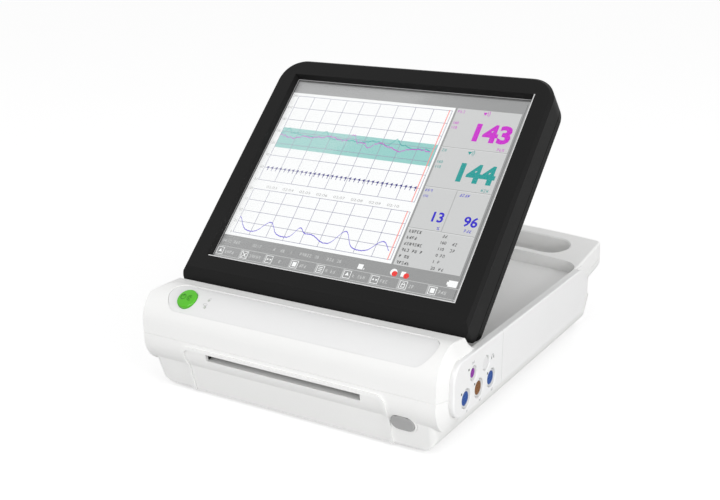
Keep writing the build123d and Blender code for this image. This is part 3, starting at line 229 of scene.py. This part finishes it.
finishes = {
    "white_shell": (mouldedPlastic, {"colour": "#fafaf9", "shade": "#f5f5f4", "grain": 1500.0, "rough": 0.52,
                                     "relief": 0.30, "depth": 0.00004, "gloss": 0.30}),
    "panel_white": (mouldedPlastic, {"colour": "#f8f8f8", "shade": "#f2f2f2", "grain": 1900.0, "rough": 0.46,
                                     "relief": 0.22, "depth": 0.00003, "gloss": 0.32}),
    "inset_grey": (mouldedPlastic, {"colour": "#f0f0f0", "shade": "#e9e9e9", "grain": 2600.0, "rough": 0.40,
                                    "relief": 0.16, "depth": 0.00002, "gloss": 0.30}),
    "bezel_black": (mouldedPlastic, {"colour": "#121212", "shade": "#0f0f0f", "grain": 1300.0, "rough": 0.50,
                                     "relief": 0.32, "depth": 0.00004, "gloss": 0.16}),
    "button_green": (mouldedPlastic, {"colour": "#58c61c", "shade": "#4fb916", "grain": 900.0, "rough": 0.34,
                                      "relief": 0.12, "depth": 0.00003, "gloss": 0.40, "coat": 0.15}),
    "latch_grey": (mouldedPlastic, {"colour": "#b4b4b4", "shade": "#a6a6a6", "grain": 1200.0, "rough": 0.44,
                                    "relief": 0.30, "depth": 0.00004}),
    "lens": (mouldedPlastic, {"colour": "#d8ddd6", "shade": "#c2c9bf", "grain": 2000.0, "rough": 0.25,
                              "relief": 0.10, "depth": 0.00002, "gloss": 0.5, "coat": 0.4}),
    "gear_white": (mouldedPlastic, {"colour": "#eeece2", "shade": "#dfdccf", "grain": 1700.0, "rough": 0.36,
                                    "relief": 0.15, "depth": 0.00002}),
    "port_blue": (mouldedPlastic, {"colour": "#0850a8", "shade": "#064492", "grain": 1600.0, "rough": 0.35,
                                   "relief": 0.15, "depth": 0.00002}),
    "port_brown": (mouldedPlastic, {"colour": "#8e5a20", "shade": "#7a4a18", "grain": 1600.0, "rough": 0.35,
                                    "relief": 0.15, "depth": 0.00002}),
    "port_purple": (mouldedPlastic, {"colour": "#9c2cb2", "shade": "#86249c", "grain": 1600.0, "rough": 0.35,
                                     "relief": 0.15, "depth": 0.00002}),
    "port_white": (mouldedPlastic, {"colour": "#f2f2f2", "shade": "#e6e6e6", "grain": 1600.0, "rough": 0.35,
                                    "relief": 0.15, "depth": 0.00002}),
    "connector_dark": (mouldedPlastic, {"colour": "#2b2b2d", "shade": "#222224", "grain": 1100.0,
                                        "rough": 0.50, "relief": 0.30, "depth": 0.00004}),
    "steel": (drawnMetal, {"colour": "#c9c9c8", "shade": "#a9a9aa", "along": (0.06, 1.0, 1.0), "fine": 1800.0,
                           "rough": 0.34}),
    "spring_steel": (drawnMetal, {"colour": "#c2c2c4", "shade": "#98989b", "along": (1.0, 1.0, 1.0),
                                  "fine": 2600.0, "rough": 0.30}),
    "head_aluminium": (drawnMetal, {"colour": "#d2d3d5", "shade": "#b7b9bc", "along": (0.04, 1.0, 1.0),
                                    "fine": 1500.0, "rough": 0.38}),
    "motor_steel": (drawnMetal, {"colour": "#a6a8aa", "shade": "#8b8d90", "along": (0.3, 1.0, 1.0),
                                 "fine": 900.0, "rough": 0.40}),
    "supply": (drawnMetal, {"colour": "#b9bab8", "shade": "#9b9d9b", "along": (1.0, 0.7, 1.0), "fine": 240.0,
                            "rough": 0.42}),
    "lcd": (drawnMetal, {"colour": "#8d8f91", "shade": "#717376", "along": (0.1, 1.0, 1.0), "fine": 1100.0,
                         "rough": 0.45}),
    "rubber_black": (mouldedRubber, {"colour": "#1d1d1e", "shade": "#2c2c2d", "pits": 900.0}),
    "rubber_grey": (mouldedRubber, {"colour": "#5c5c5e", "shade": "#707072", "pits": 800.0}),
    "speaker_dark": (mouldedRubber, {"colour": "#232325", "shade": "#303033", "pits": 500.0}),
    "battery": (mouldedRubber, {"colour": "#3a4048", "shade": "#4c535c", "pits": 120.0}),
    "board_green": (circuitBoard, {"colour": "#12472b", "copper": "#1c6a3e", "pad": "#cfc7a4"}),
}
materials = {slot: make(slot, look) for slot, (make, look) in finishes.items()}


def clearGlass(name, look):
    # a faint sheen over a clear sheet, broken by an anti-glare grain
    paint = Finish(name)
    grain = paint.noise(paint.place(), 1800.0, 2.0)
    edge = paint.node("ShaderNodeFresnel", None, {"IOR": 1.45})
    clear = paint.node("ShaderNodeBsdfTransparent", None, {"Color": (0.985, 0.99, 0.99, 1.0)})
    sheen = paint.node("ShaderNodeBsdfAnisotropic", None,
                       {"Color": (1.0, 1.0, 1.0, 1.0), "Roughness": look["rough"]})
    share = (edge * look["sheen"] + (grain - 0.5) * 0.004).clamp()
    return paint.done(paint.node("ShaderNodeMixShader", None, {0: share, 1: clear, 2: sheen}))


def foldedPaper(name, look):
    # a printed grid on top and the folded leaves at the sides
    paint = Finish(name)
    spot = paint.place()
    x, y, z = paint.split(spot)
    fine = ((x.repeat(0.002) < 0.12) + (y.repeat(0.002) < 0.12)).clamp()
    bold = ((x.repeat(0.01) < 0.05) + (y.repeat(0.01) < 0.05)).clamp()
    leaf = z.repeat(0.00045)
    fibre = paint.noise(spot, 700.0, 4.0, 0.7)
    sheet = paint.mix(fibre, tint(look["colour"]), tint(look["shade"]))
    ruled = paint.mix((fine * 0.25 + bold * 0.45).clamp(), sheet, tint(look["rule"]))
    colour = paint.mix(leaf * 0.18, ruled, tint(look["fold"]))
    normal = paint.bump(leaf * 0.7 + fibre * 0.3, 0.4, 0.0001)
    return paint.done(paint.shade(Base_Color=colour, Roughness=0.85 + (fibre - 0.5) * 0.1, Normal=normal,
                                  Specular_IOR_Level=0.2))


materials["screen_glass"] = clearGlass("screen_glass", {"sheen": 0.22, "rough": 0.32})
materials["paper"] = foldedPaper("paper", {"colour": "#f4f2f2", "shade": "#e9e6e6", "rule": "#e59aa4",
                                           "fold": "#b9b3b3"})

for name, node in frame["nodes"].items():
    node.data.materials.clear()
    node.data.materials.append(materials[slotOf[name]])
print("stage: finishes on", len(frame["nodes"]), "sub-parts")


# shapes that several pieces share, in millimetres until they are placed
def slab(bm, x, y, width, height, turn=0.0):
    place = Matrix.Translation((x, y, 0)) @ Matrix.Rotation(turn, 4, "Z")
    bmesh.ops.create_grid(bm, x_segments=1, y_segments=1, size=0.5,
                          matrix=place @ Matrix.Diagonal((width, height, 1, 1)))


def span(bm, x0, x1, y0, y1):
    slab(bm, (x0 + x1) / 2, (y0 + y1) / 2, x1 - x0, y1 - y0)


def disc(bm, x, y, radius, sides=24, turn=0.0):
    bmesh.ops.create_circle(bm, cap_ends=True, segments=sides, radius=radius,
                            matrix=Matrix.Translation((x, y, 0)) @ Matrix.Rotation(turn, 4, "Z"))


def outline(bm, x0, x1, y0, y1, line):
    span(bm, x0, x1, y0, y0 + line)
    span(bm, x0, x1, y1 - line, y1)
    span(bm, x0, x0 + line, y0 + line, y1 - line)
    span(bm, x1 - line, x1, y0 + line, y1 - line)


def arcBand(bm, x, y, radius, line, start, finish, steps=18):
    # a bent strip: one short edge swept round a centre
    ends = [bm.verts.new((x + reach * cos(start), y + reach * sin(start), 0))
            for reach in (radius - line / 2, radius + line / 2)]
    edge = bm.edges.new(ends)
    bmesh.ops.spin(bm, geom=[edge, *ends], cent=(x, y, 0), axis=(0, 0, 1), angle=finish - start, steps=steps)


def stroke(bm, points, line):
    # a chart line: a chain of edges given its width
    verts = [bm.verts.new((x, y - line / 2, 0)) for x, y in points]
    edges = [bm.edges.new(pair) for pair in zip(verts, verts[1:])]
    made = bmesh.ops.extrude_edge_only(bm, edges=edges)["geom"]
    bmesh.ops.translate(bm, vec=(0, line, 0), verts=[g for g in made if isinstance(g, bmesh.types.BMVert)])


def figures(bm, text, x, y, height, align="LEFT", weight=0.0, width=None):
    # plain figures from the built-in font, as high as asked
    curve = bpy.data.curves.new("figures", "FONT")
    curve.body = text
    curve.offset = weight
    curve.resolution_u = 3
    carrier = bpy.data.objects.new("figures", curve)
    scene.collection.objects.link(carrier)
    bpy.context.view_layer.update()
    mesh = bpy.data.meshes.new_from_object(carrier.evaluated_get(bpy.context.evaluated_depsgraph_get()))
    low = Vector([min(v.co[k] for v in mesh.vertices) for k in range(3)])
    high = Vector([max(v.co[k] for v in mesh.vertices) for k in range(3)])
    size = height / (high.y - low.y)
    across = width / (high.x - low.x) if width else size
    left = x - across * (high.x - low.x) * {"LEFT": 0, "CENTRE": 0.5, "RIGHT": 1}[align]
    mesh.transform(Matrix.Translation((left, y, 0)) @ Matrix.Diagonal((across, size, 1, 1))
                   @ Matrix.Translation((-low.x, -low.y, 0)))
    bm.from_mesh(mesh)
    bpy.data.objects.remove(carrier)
    bpy.data.curves.remove(curve)
    bpy.data.meshes.remove(mesh)


def filler(bm, x, y, width, height, dice, line=0.42):
    # strokes that stand for small print without spelling anything
    step = height * 0.86
    count = max(1, int(width / step))
    for k in range(count):
        left = x + k * step
        glyph = height * 0.56
        if dice.random() < 0.10:
            continue
        for part in dice.sample(range(6), 3):
            if part < 2:
                span(bm, left + part * (glyph - line), left + part * (glyph - line) + line, y, y + height)
            elif part < 5:
                level = y + (part - 2) * (height - line) / 2
                span(bm, left, left + glyph, level, level + line)
            else:
                slab(bm, left + glyph / 2, y + height / 2, line, height * 1.05, -0.5)


def asPiece(name, bm, material, body, place=None):
    # finish a mesh, put it where it belongs and let it ride
    bmesh.ops.remove_doubles(bm, verts=bm.verts, dist=0.00001)
    mesh = bpy.data.meshes.new(name)
    bm.to_mesh(mesh)
    bm.free()
    mesh.transform(Matrix.Diagonal((mm, mm, mm, 1)))
    if place:
        mesh.transform(place)
    mesh.materials.append(material)
    piece = bpy.data.objects.new(name, mesh)
    scene.collection.objects.link(piece)
    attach(piece, body)
    return piece


# the lit picture on the screen
screen = {
    "tilt": 44.5, "alongHinge": 8.5, "aboveHinge": 2.375,   # degrees, then the window's lower middle in mm
    "width": 246.0, "height": 203.8, "depth": -2.18, "layer": 0.02,
    "pixel": 0.31, "seed": 7,
}
inks = {
    # the dark grey of the strip along the top is painted shadow from the window's lip; the same grey also prints
    # the battery outline
    "edge": ("#343434", 0), "field": ("#999999", 1), "rim": ("#7c7c7c", 2), "dusk": ("#6b6b6b", 2),
    "chart": ("#ffffff", 2), "readout": ("#cfcfcf", 2), "band": ("#93cfc9", 3), "crease": ("#a2a2a2", 3),
    "lift": ("#e4e4e4", 3),
    "ruling": ("#9696ae", 4), "figure": ("#a8a8a8", 4), "cursor": ("#ff8f88", 5), "beat": ("#2f2783", 5),
    "magenta": ("#cb00cb", 6), "teal": ("#009a96", 6), "tealLine": ("#2fb0aa", 5), "violet": ("#6a5ad6", 6),
    "blue": ("#2410c8", 6), "dark": ("#161616", 5), "pale": ("#cdcdcd", 4), "light": ("#ffffff", 5),
    "red": ("#f1352e", 6),
}


def litPaint(name, colour):
    # light through the fine cell pattern of the panel
    paint = Finish("screen_" + name)
    across, along, out = paint.split(paint.place(centre=screenOrigin, turn=(-radians(screen["tilt"]), 0, 0)))
    cell = screen["pixel"] * mm
    weave = ((across.repeat(cell) - 0.5) * (along.repeat(cell) - 0.5)) * 0.10
    glow = paint.mix((0.06 + weave).clamp(), tint(colour), tint(colour, 0.8))
    return paint.done(paint.shade(Base_Color=(0.01, 0.01, 0.01, 1.0), Roughness=0.5, Specular_IOR_Level=0.2,
                                  Emission_Color=glow, Emission_Strength=1.0))


hinge = Vector(joints["display_tilt"]["pos_m"])
tilt = radians(screen["tilt"])
upScreen = Vector((0, cos(tilt), sin(tilt)))
outScreen = Vector((0, -sin(tilt), cos(tilt)))
screenOrigin = hinge + screen["alongHinge"] * mm * upScreen + screen["aboveHinge"] * mm * outScreen
sheets = {name: bmesh.new() for name in inks}
dice = random.Random(screen["seed"])

half, top = screen["width"] / 2, screen["height"]
span(sheets["edge"], -half - 3, half + 3, -2.2, top + 2.2)
span(sheets["field"], -half, half, 0, top)
# painted shadow: a dark strip along the top of the picture for the shade that the window's lip casts on the screen
span(sheets["dusk"], -half, half, top - 1.4, top)
span(sheets["rim"], half - 3.4, half - 2.6, 0, top - 4)

chart = {
    "left": -115.2, "right": 51.6, "columns": 9, "paperRight": 53.9, "paperTop": 189.0, "paperLow": 24.4,
    "rateTop": 185.4, "rateStep": 14.12, "rateRows": 7, "rateMarks": (240, 210, 180, 150, 120, 90, 60, 30),
    "bandTop": 147.7, "bandLow": 124.4, "line": 0.55, "figure": 2.7,
    "toneTop": 76.2, "toneStep": 12.08, "toneRows": 4, "toneMarks": (100, 75, 50, 25, 0),
    "cursor": 48.9, "beats": 34, "firstBeat": 4.3, "beatStep": 4.79, "beatRow": 100.6, "clockRow": 78.6,
    "trace": 1.0,
}


def ruled(top, step, rows, marks):
    # one squared chart with its figures
    low = top - step * rows
    left, right, line = chart["left"], chart["right"], chart["line"]
    column = (right - left) / chart["columns"]
    for k in range(chart["columns"] + 1):
        slab(sheets["ruling"], left + k * column, (top + low) / 2, line, top - low + line)
    for k in range(rows + 1):
        level = top - k * step
        slab(sheets["ruling"], (left + right) / 2, level, right - left, line)
        figures(sheets["figure"], str(marks[k]), left - 1.4, level - 1.2, chart["figure"], "RIGHT")
    span(sheets["cursor"], chart["cursor"] - 0.45, chart["cursor"] + 0.45, low - 0.4, top + 0.6)


def bumps(x, peaks):
    return sum(height * exp(-((x - centre) / width) ** 2) for centre, height, width in peaks)


def wander(base, peaks, jitter, step=1.1):
    # a recorded trace: rises where the peaks are, and a small unrest
    points = []
    x = chart["left"]
    while x < chart["cursor"] - 1.5:
        points.append((x, base + bumps(x, peaks) + dice.uniform(-jitter, jitter)))
        x += step
    return points


span(sheets["chart"], -half, chart["paperRight"], chart["paperLow"], chart["paperTop"])
span(sheets["band"], chart["left"], chart["right"], chart["bandLow"], chart["bandTop"])
ruled(chart["rateTop"], chart["rateStep"], chart["rateRows"], chart["rateMarks"])
ruled(chart["toneTop"], chart["toneStep"], chart["toneRows"], chart["toneMarks"])
for k in range(1, chart["columns"]):
    column = chart["left"] + k * (chart["right"] - chart["left"]) / chart["columns"]
    clock = "02:%02d" % (k + 2)
    figures(sheets["figure"], clock, column, chart["clockRow"], chart["figure"], "CENTRE", width=12.0)
for k in range(chart["beats"]):
    x = chart["left"] + chart["firstBeat"] + chart["beatStep"] * k
    disc(sheets["beat"], x, chart["beatRow"] + 0.6, 1.8, 3, pi / 2)
    slab(sheets["beat"], x, chart["beatRow"] - 1.3, 0.7, 3.4)
ratePeaks = [(-108.0, 7.0, 3.5), (-99.0, 2.0, 4.0), (-66.5, 7.5, 3.5), (-12.0, 2.4, 9.0), (10.0, 7.6, 3.8),
             (20.0, 2.4, 4.0)]
twinPeaks = [(-101.0, -3.4, 9.0), (-60.0, 3.0, 9.0), (-36.0, 8.0, 4.2), (-16.0, -4.0, 3.5), (-5.0, 2.0, 6.0),
             (16.0, -4.0, 8.0)]
stroke(sheets["tealLine"], wander(140.9, ratePeaks, 1.0), chart["trace"])
stroke(sheets["magenta"], wander(139.9, twinPeaks, 1.1), chart["trace"] * 0.9)
tonePeaks = [(-116.0, 13.4, 8.0), (-80.2, 12.6, 8.0), (-47.5, 9.6, 5.0), (-35.0, 7.2, 12.0),
             (-1.0, 16.2, 8.0), (38.3, 12.6, 8.5)]
stroke(sheets["violet"], wander(31.4, tonePeaks, 0.3, 0.9), chart["trace"])

readout = {
    "left": 55.3, "right": 118.1, "top": 189.0, "low": 24.4, "rows": (146.5, 104.0, 61.5), "middle": 86.5,
    "large": 19.7, "small": 10.2, "print": 2.9, "listTop": 56.8, "listStep": 6.24,
}


def rateBox(floor, ink, number):
    # one heart rate: limits, loudspeaker mark and the large figure
    bm = sheets[ink]
    figures(bm, number, 115.8, floor + 8.7, readout["large"], "RIGHT", 0.045, 35.0)
    filler(bm, 57.3, floor + 37.6, 8.0, readout["print"], dice)
    figures(bm, "160", 57.3, floor + 25.2, readout["print"], weight=0.012)
    figures(bm, "110", 57.3, floor + 20.0, readout["print"], weight=0.012)
    filler(bm, 107.6, floor + 1.6, 8.0, readout["print"], dice)
    disc(bm, 84.2, floor + 39.2, 2.3, 3, pi)
    for k in (1, 2):
        arcBand(bm, 84.0, floor + 39.2, 1.6 + 1.5 * k, 0.5, -0.7, 0.7, 8)


span(sheets["readout"], readout["left"], readout["right"], readout["low"], readout["top"])
for level in readout["rows"]:
    span(sheets["crease"], readout["left"], readout["right"], level, level + 0.55)
    span(sheets["lift"], readout["left"], readout["right"], level - 0.55, level)
span(sheets["crease"], readout["middle"], readout["middle"] + 0.55, readout["rows"][2], readout["rows"][1])
span(sheets["crease"], readout["left"], readout["left"] + 0.55, readout["low"], readout["top"])
rateBox(readout["rows"][0], "magenta", "143")
rateBox(readout["rows"][1], "teal", "144")
figures(sheets["blue"], "13", 84.2, 70.2, readout["small"], "RIGHT", 0.026)
figures(sheets["blue"], "96", 116.1, 70.2, readout["small"], "RIGHT", 0.026)
filler(sheets["blue"], 57.3, 98.8, 10.5, readout["print"], dice)
figures(sheets["blue"], "(10)", 57.3, 92.8, readout["print"], weight=0.012)
filler(sheets["blue"], 88.1, 98.4, 12.6, readout["print"], dice)
figures(sheets["blue"], "%", 84.2, 63.2, readout["print"], "RIGHT", 0.012)
filler(sheets["blue"], 106.6, 64.8, 9.6, readout["print"], dice)
settings = ((13, ""), (14.5, "160"), (17.5, "110"), (22.5, "0"), (12, "1"), (15, "20"))
for k, (lead, number) in enumerate(settings):
    level = readout["listTop"] - k * readout["listStep"]
    filler(sheets["dark"], 58.1, level, lead, readout["print"], dice, 0.55)
    if number:
        figures(sheets["dark"], number, 90.3, level, readout["print"], weight=0.012)
    unit = 90.9 + 3.4 * len(number) if number else 89.9
    filler(sheets["dark"], unit, level, 6.5, readout["print"], dice)

# the row of buttons under the picture: each cell's sign and the width of its caption
bars = {"split": 12.4, "low": 2.1, "cell": 27.3, "first": -123.3, "print": 3.0, "line": 0.5, "row": 16.4}
cells = [(0, 11), (1, 14.5), (2, 9), (3, 9.5), (4, 11), (0, 14), (2, 9.5), (5, 9), (3, 9)]


def cellMark(bm, x, y, kind):
    # white marks of the button row: each is a square with a plain sign in it
    outline(bm, x, x + 7.2, y, y + 7.6, bars["line"])
    if kind == 0:
        disc(bm, x + 3.6, y + 3.8, 2.2, 3, 0)
    elif kind == 1:
        slab(bm, x + 3.6, y + 3.8, 0.7, 7.4, 0.75)
        slab(bm, x + 3.6, y + 3.8, 0.7, 7.4, -0.75)
    elif kind == 2:
        disc(bm, x + 2.2, y + 3.8, 1.3, 3, 0)
        disc(bm, x + 5.2, y + 3.8, 1.3, 3, pi)
    elif kind == 3:
        span(bm, x + 1.6, x + 5.6, y + 1.6, y + 6.0)
    elif kind == 4:
        for level in (1.8, 3.5, 5.2):
            span(bm, x + 1.6, x + 5.6, y + level, y + level + 0.7)
    else:
        outline(bm, x + 1.8, x + 5.4, y + 1.4, y + 4.6, 0.6)
        arcBand(bm, x + 3.6, y + 4.6, 1.3, 0.5, 0, pi, 8)


for k, (kind, caption) in enumerate(cells):
    left = bars["first"] + k * bars["cell"]
    outline(sheets["pale"], left, left + bars["cell"] - 0.3, bars["low"], bars["split"], 0.45)
    cellMark(sheets["light"], left + 0.8, bars["low"] + 1.3, kind)
    filler(sheets["pale"], left + 10.0, bars["low"] + 3.4, caption, bars["print"], dice, bars["line"])
for left, width in ((-109.0, 9.0), (-64.4, 15.0), (-36.0, 13.0), (-7.7, 8.0)):
    filler(sheets["pale"], left, bars["row"], width, bars["print"], dice, bars["line"])
for text, left in (("04-12", -121.6), ("02:17", -87.4), ("1", -45.4), ("38", -20.0), ("28", 3.0)):
    figures(sheets["pale"], text, left, bars["row"], bars["print"])

# small signs at the right of that row: sheet, two warnings and a battery
span(sheets["light"], 24.6, 29.6, 14.2, 19.0)
span(sheets["light"], 30.6, 31.3, 14.2, 16.0)
disc(sheets["light"], 59.4, 17.2, 3.3, 18)
disc(sheets["red"], 60.6, 15.9, 2.6, 20)
span(sheets["light"], 66.4, 70.6, 14.4, 19.2)
disc(sheets["red"], 71.8, 15.7, 2.6, 20)
slab(sheets["light"], 60.6, 15.9, 2.6, 0.7, 0.7)
slab(sheets["light"], 71.8, 15.7, 2.6, 0.7, 0.7)
span(sheets["light"], 110.6, 118.8, 13.2, 19.2)
span(sheets["light"], 109.3, 110.6, 14.8, 17.6)
outline(sheets["dusk"], 111.9, 117.9, 14.1, 18.3, 0.5)

for name, (colour, layer) in inks.items():
    depth = (screen["depth"] + layer * screen["layer"]) * mm
    seat = Matrix.Translation(screenOrigin + depth * outScreen) @ Matrix.Rotation(tilt, 4, "X")
    asPiece("screen_" + name, sheets[name], litPaint(name, colour), "display", seat)
print("stage: screen picture in", len(inks), "inks")

# thin trim round the window: the strips on the face at the bottom and right are painted lighter as a highlight,
# and the strips at the foot of the wall at the top and left are painted darker as shade
trim = {"width": 0.9, "flare": 2.4, "faceRise": 5.38, "footRise": 0.03, "paintedHighlight": "#dcdcdc", "paintedShade": "#a4a4a4"}


def trimLine(name, spans, colour, rise):
    bm = bmesh.new()
    for x0, x1, y0, y1 in spans:
        span(bm, x0, x1, y0, y1)
    seat = Matrix.Translation(screenOrigin + rise * mm * outScreen) @ Matrix.Rotation(tilt, 4, "X")
    look = {"colour": colour, "shade": colour, "grain": 1500.0, "rough": 0.4, "relief": 0.2, "depth": 0.00003}
    return asPiece(name, bm, mouldedPlastic(name, look), "display", seat)


inner, outer = trim["flare"], trim["flare"] + trim["width"]
# painted highlight: light grey for the light caught along the bottom and right of the trim
trimLine("window_trim_painted_highlight", [
    (-half, half + outer, -outer, -inner), (half + inner, half + outer, -inner, top + inner),
], trim["paintedHighlight"], trim["faceRise"])
foot = trim["width"]
# painted shade: darker grey for the shade along the top and left of the trim
trimLine("window_trim_painted_shade", [
    (-half, half, top - foot, top), (-half, -half + foot, 0, top - foot),
], trim["paintedShade"], trim["footRise"])

# small marks moulded or printed on the casing and the power button
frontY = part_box("top_cover")[0].y
roll = {"radius": 28.0, "height": 65.0}
power = {"x": -103.3, "angle": 124.5, "rise": 1.52, "line": 0.55, "size": 2.5, "colour": "#2c7a10"}
inset = {"x": -82.7, "angle": 125.4, "reach": 27.34, "line": 0.35, "bar": 0.36}
marks = {"colour": "#3a3a3a", "greek": "#8c8c8c", "faint": "#c4c4c4", "lift": 0.03, "seed": 23}


def ink(name, colour):
    look = {"colour": colour, "shade": colour, "grain": 2500.0, "rough": 0.6, "relief": 0.1, "depth": 0.00002}
    return mouldedPlastic(name, look)


def rollSeat(x, angle, reach):
    # a frame on the round of the roll, facing straight out
    a = radians(angle)
    out = Vector((0, cos(a), sin(a)))
    up = Vector((0, out.z, -out.y))
    turned = Matrix((Vector((1, 0, 0)), up, out)).transposed().to_4x4()
    centre = Vector((x * mm, frontY + roll["radius"] * mm, roll["height"] * mm))
    return Matrix.Translation(centre + reach * mm * out) @ turned


bm = bmesh.new()
for x, finish in ((-3.6, 420), (3.4, 300)):
    arcBand(bm, x, 0.3, power["size"], power["line"], radians(60), radians(finish), 24)
span(bm, -3.6 - power["line"] / 2, -3.6 + power["line"] / 2, 0.6, 3.4)
arcBand(bm, 3.4, 0.3, 1.2, power["line"], 0, radians(300), 14)
asPiece("power_signs", bm, ink("power_signs", power["colour"]), "power",
        rollSeat(power["x"], power["angle"], roll["radius"] + power["rise"]))

bm = bmesh.new()
for x, start in ((-1.1, pi / 2), (1.1, -pi / 2)):
    arcBand(bm, x, -1.2, 0.9, inset["line"], start, start + pi, 10)
for y in (-2.1, -0.3):
    slab(bm, 0, y, 2.2, inset["bar"])
slab(bm, 1.8, 5.575, 2.4, inset["line"])
asPiece("inset_sign", bm, ink("inset_sign", marks["faint"]), "casing",
        rollSeat(inset["x"], inset["angle"], inset["reach"]))

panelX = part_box("right_front_panel")[1].x
side = Matrix((Vector((0, 1, 0)), Vector((0, 0, 1)), Vector((1, 0, 0)))).transposed().to_4x4()
seat = Matrix.Translation((panelX + marks["lift"] * mm, frontY, 0)) @ side
squares, greek = bmesh.new(), bmesh.new()
for back, height in ((37.9, 69.0), (25.7, 53.0), (49.4, 52.8), (73.5, 52.8)):
    span(squares, back - 0.9, back + 0.9, height - 0.9, height + 0.9)
dice = random.Random(marks["seed"])
for back, height, width in ((43.4, 71.6, 5.0), (34.4, 33.9, 4.4), (58.8, 34.1, 4.4), (81.6, 34.5, 4.4)):
    filler(greek, back, height, width, 1.9, dice, 0.3)
arcBand(greek, 82.6, 64.4, 2.0, 0.45, 0, pi, 12)
span(greek, 80.0, 81.3, 62.6, 64.8)
span(greek, 83.9, 85.2, 62.6, 64.8)
asPiece("port_squares", squares, ink("port_squares", marks["colour"]), "casing", seat)
asPiece("port_marks", greek, ink("port_marks", marks["greek"]), "casing", seat)
print("stage: trim and small marks")

# camera, light and floor
view = {"lens": 53.35, "sensor": 36.0, "nod": 72.88, "turn": 30.99, "place": (0.473, -0.8448, 0.400)}
eye = bpy.data.cameras.new("camera")
eye.lens = view["lens"]
eye.sensor_width = view["sensor"]
camera = bpy.data.objects.new("camera", eye)
camera.location = Vector(view["place"]) + Vector((0, frontY + 0.188, 0))
camera.rotation_euler = (radians(view["nod"]), 0, radians(view["turn"]))
scene.collection.objects.link(camera)
scene.camera = camera

stageLook = {"floor": "#cfcfcf", "lift": 0.54, "low": 0.57, "high": 0.74, "size": 6.0}
floorPaint = Finish("studio_floor")
seen = floorPaint.node("ShaderNodeLightPath", out="Is Camera Ray")
cloth = floorPaint.noise(floorPaint.place(), 3.0, 2.0)
floorColour = floorPaint.mix(cloth, tint(stageLook["floor"]), tint(stageLook["floor"], 0.99))
glow = floorPaint.mix(seen, (0, 0, 0, 1), (*[stageLook["lift"]] * 3, 1))
floorMaterial = floorPaint.done(floorPaint.shade(
    Base_Color=floorColour, Roughness=0.9, Specular_IOR_Level=0.0, Emission_Color=glow, Emission_Strength=1.0))
bm = bmesh.new()
bmesh.ops.create_grid(bm, x_segments=2, y_segments=2, size=stageLook["size"])
floorMesh = bpy.data.meshes.new("floor")
bm.to_mesh(floorMesh)
bm.free()
floorMesh.materials.append(floorMaterial)
floor = bpy.data.objects.new("floor", floorMesh)
scene.collection.objects.link(floor)

world = bpy.data.worlds.new("studio")
world.use_nodes = True
scene.world = world
air = Finish("studio_air")
air.tree = world.node_tree
air.tree.nodes.clear()
path = air.node("ShaderNodeLightPath")
kinds = ("Is Camera Ray", "Is Glossy Ray", "Is Transmission Ray")
rays = [Wire(air.tree, path.socket.node.outputs[kind]) for kind in kinds]
backdrop = (rays[0] + rays[1] + rays[2]).clamp()
skyX, skyY, skyZ = air.split(air.node("ShaderNodeTexCoord", out="Generated"))
rise = skyZ.clamp().power(0.7)
dome = stageLook["low"] + rise * (stageLook["high"] - stageLook["low"])
level = dome + backdrop * (1.0 - dome)
air.done(air.node("ShaderNodeBackground", None, {"Color": air.mix(level, (0, 0, 0, 1), (1, 1, 1, 1))}),
         "ShaderNodeOutputWorld")

lamps = {
    "key": {"place": (-0.9, -2.0, 0.95), "size": (1.2, 1.0), "power": 6.7},
    "side": {"place": (2.1, -0.6, 0.6), "size": (1.0, 0.8), "power": 14.0},
    "low": {"place": (0.8, -1.7, 0.30), "size": (0.9, 0.4), "power": 6.0},
}
aim = Vector((0, 0, 0.08))
for name, lamp in lamps.items():
    light = bpy.data.lights.new(name, "AREA")
    light.shape = "RECTANGLE"
    light.size, light.size_y = lamp["size"]
    light.energy = lamp["power"]
    holder = bpy.data.objects.new(name, light)
    holder.location = lamp["place"]
    holder.rotation_euler = (aim - holder.location).to_track_quat("-Z", "Y").to_euler()
    scene.collection.objects.link(holder)
print("stage: camera, floor and", len(lamps), "lamps")
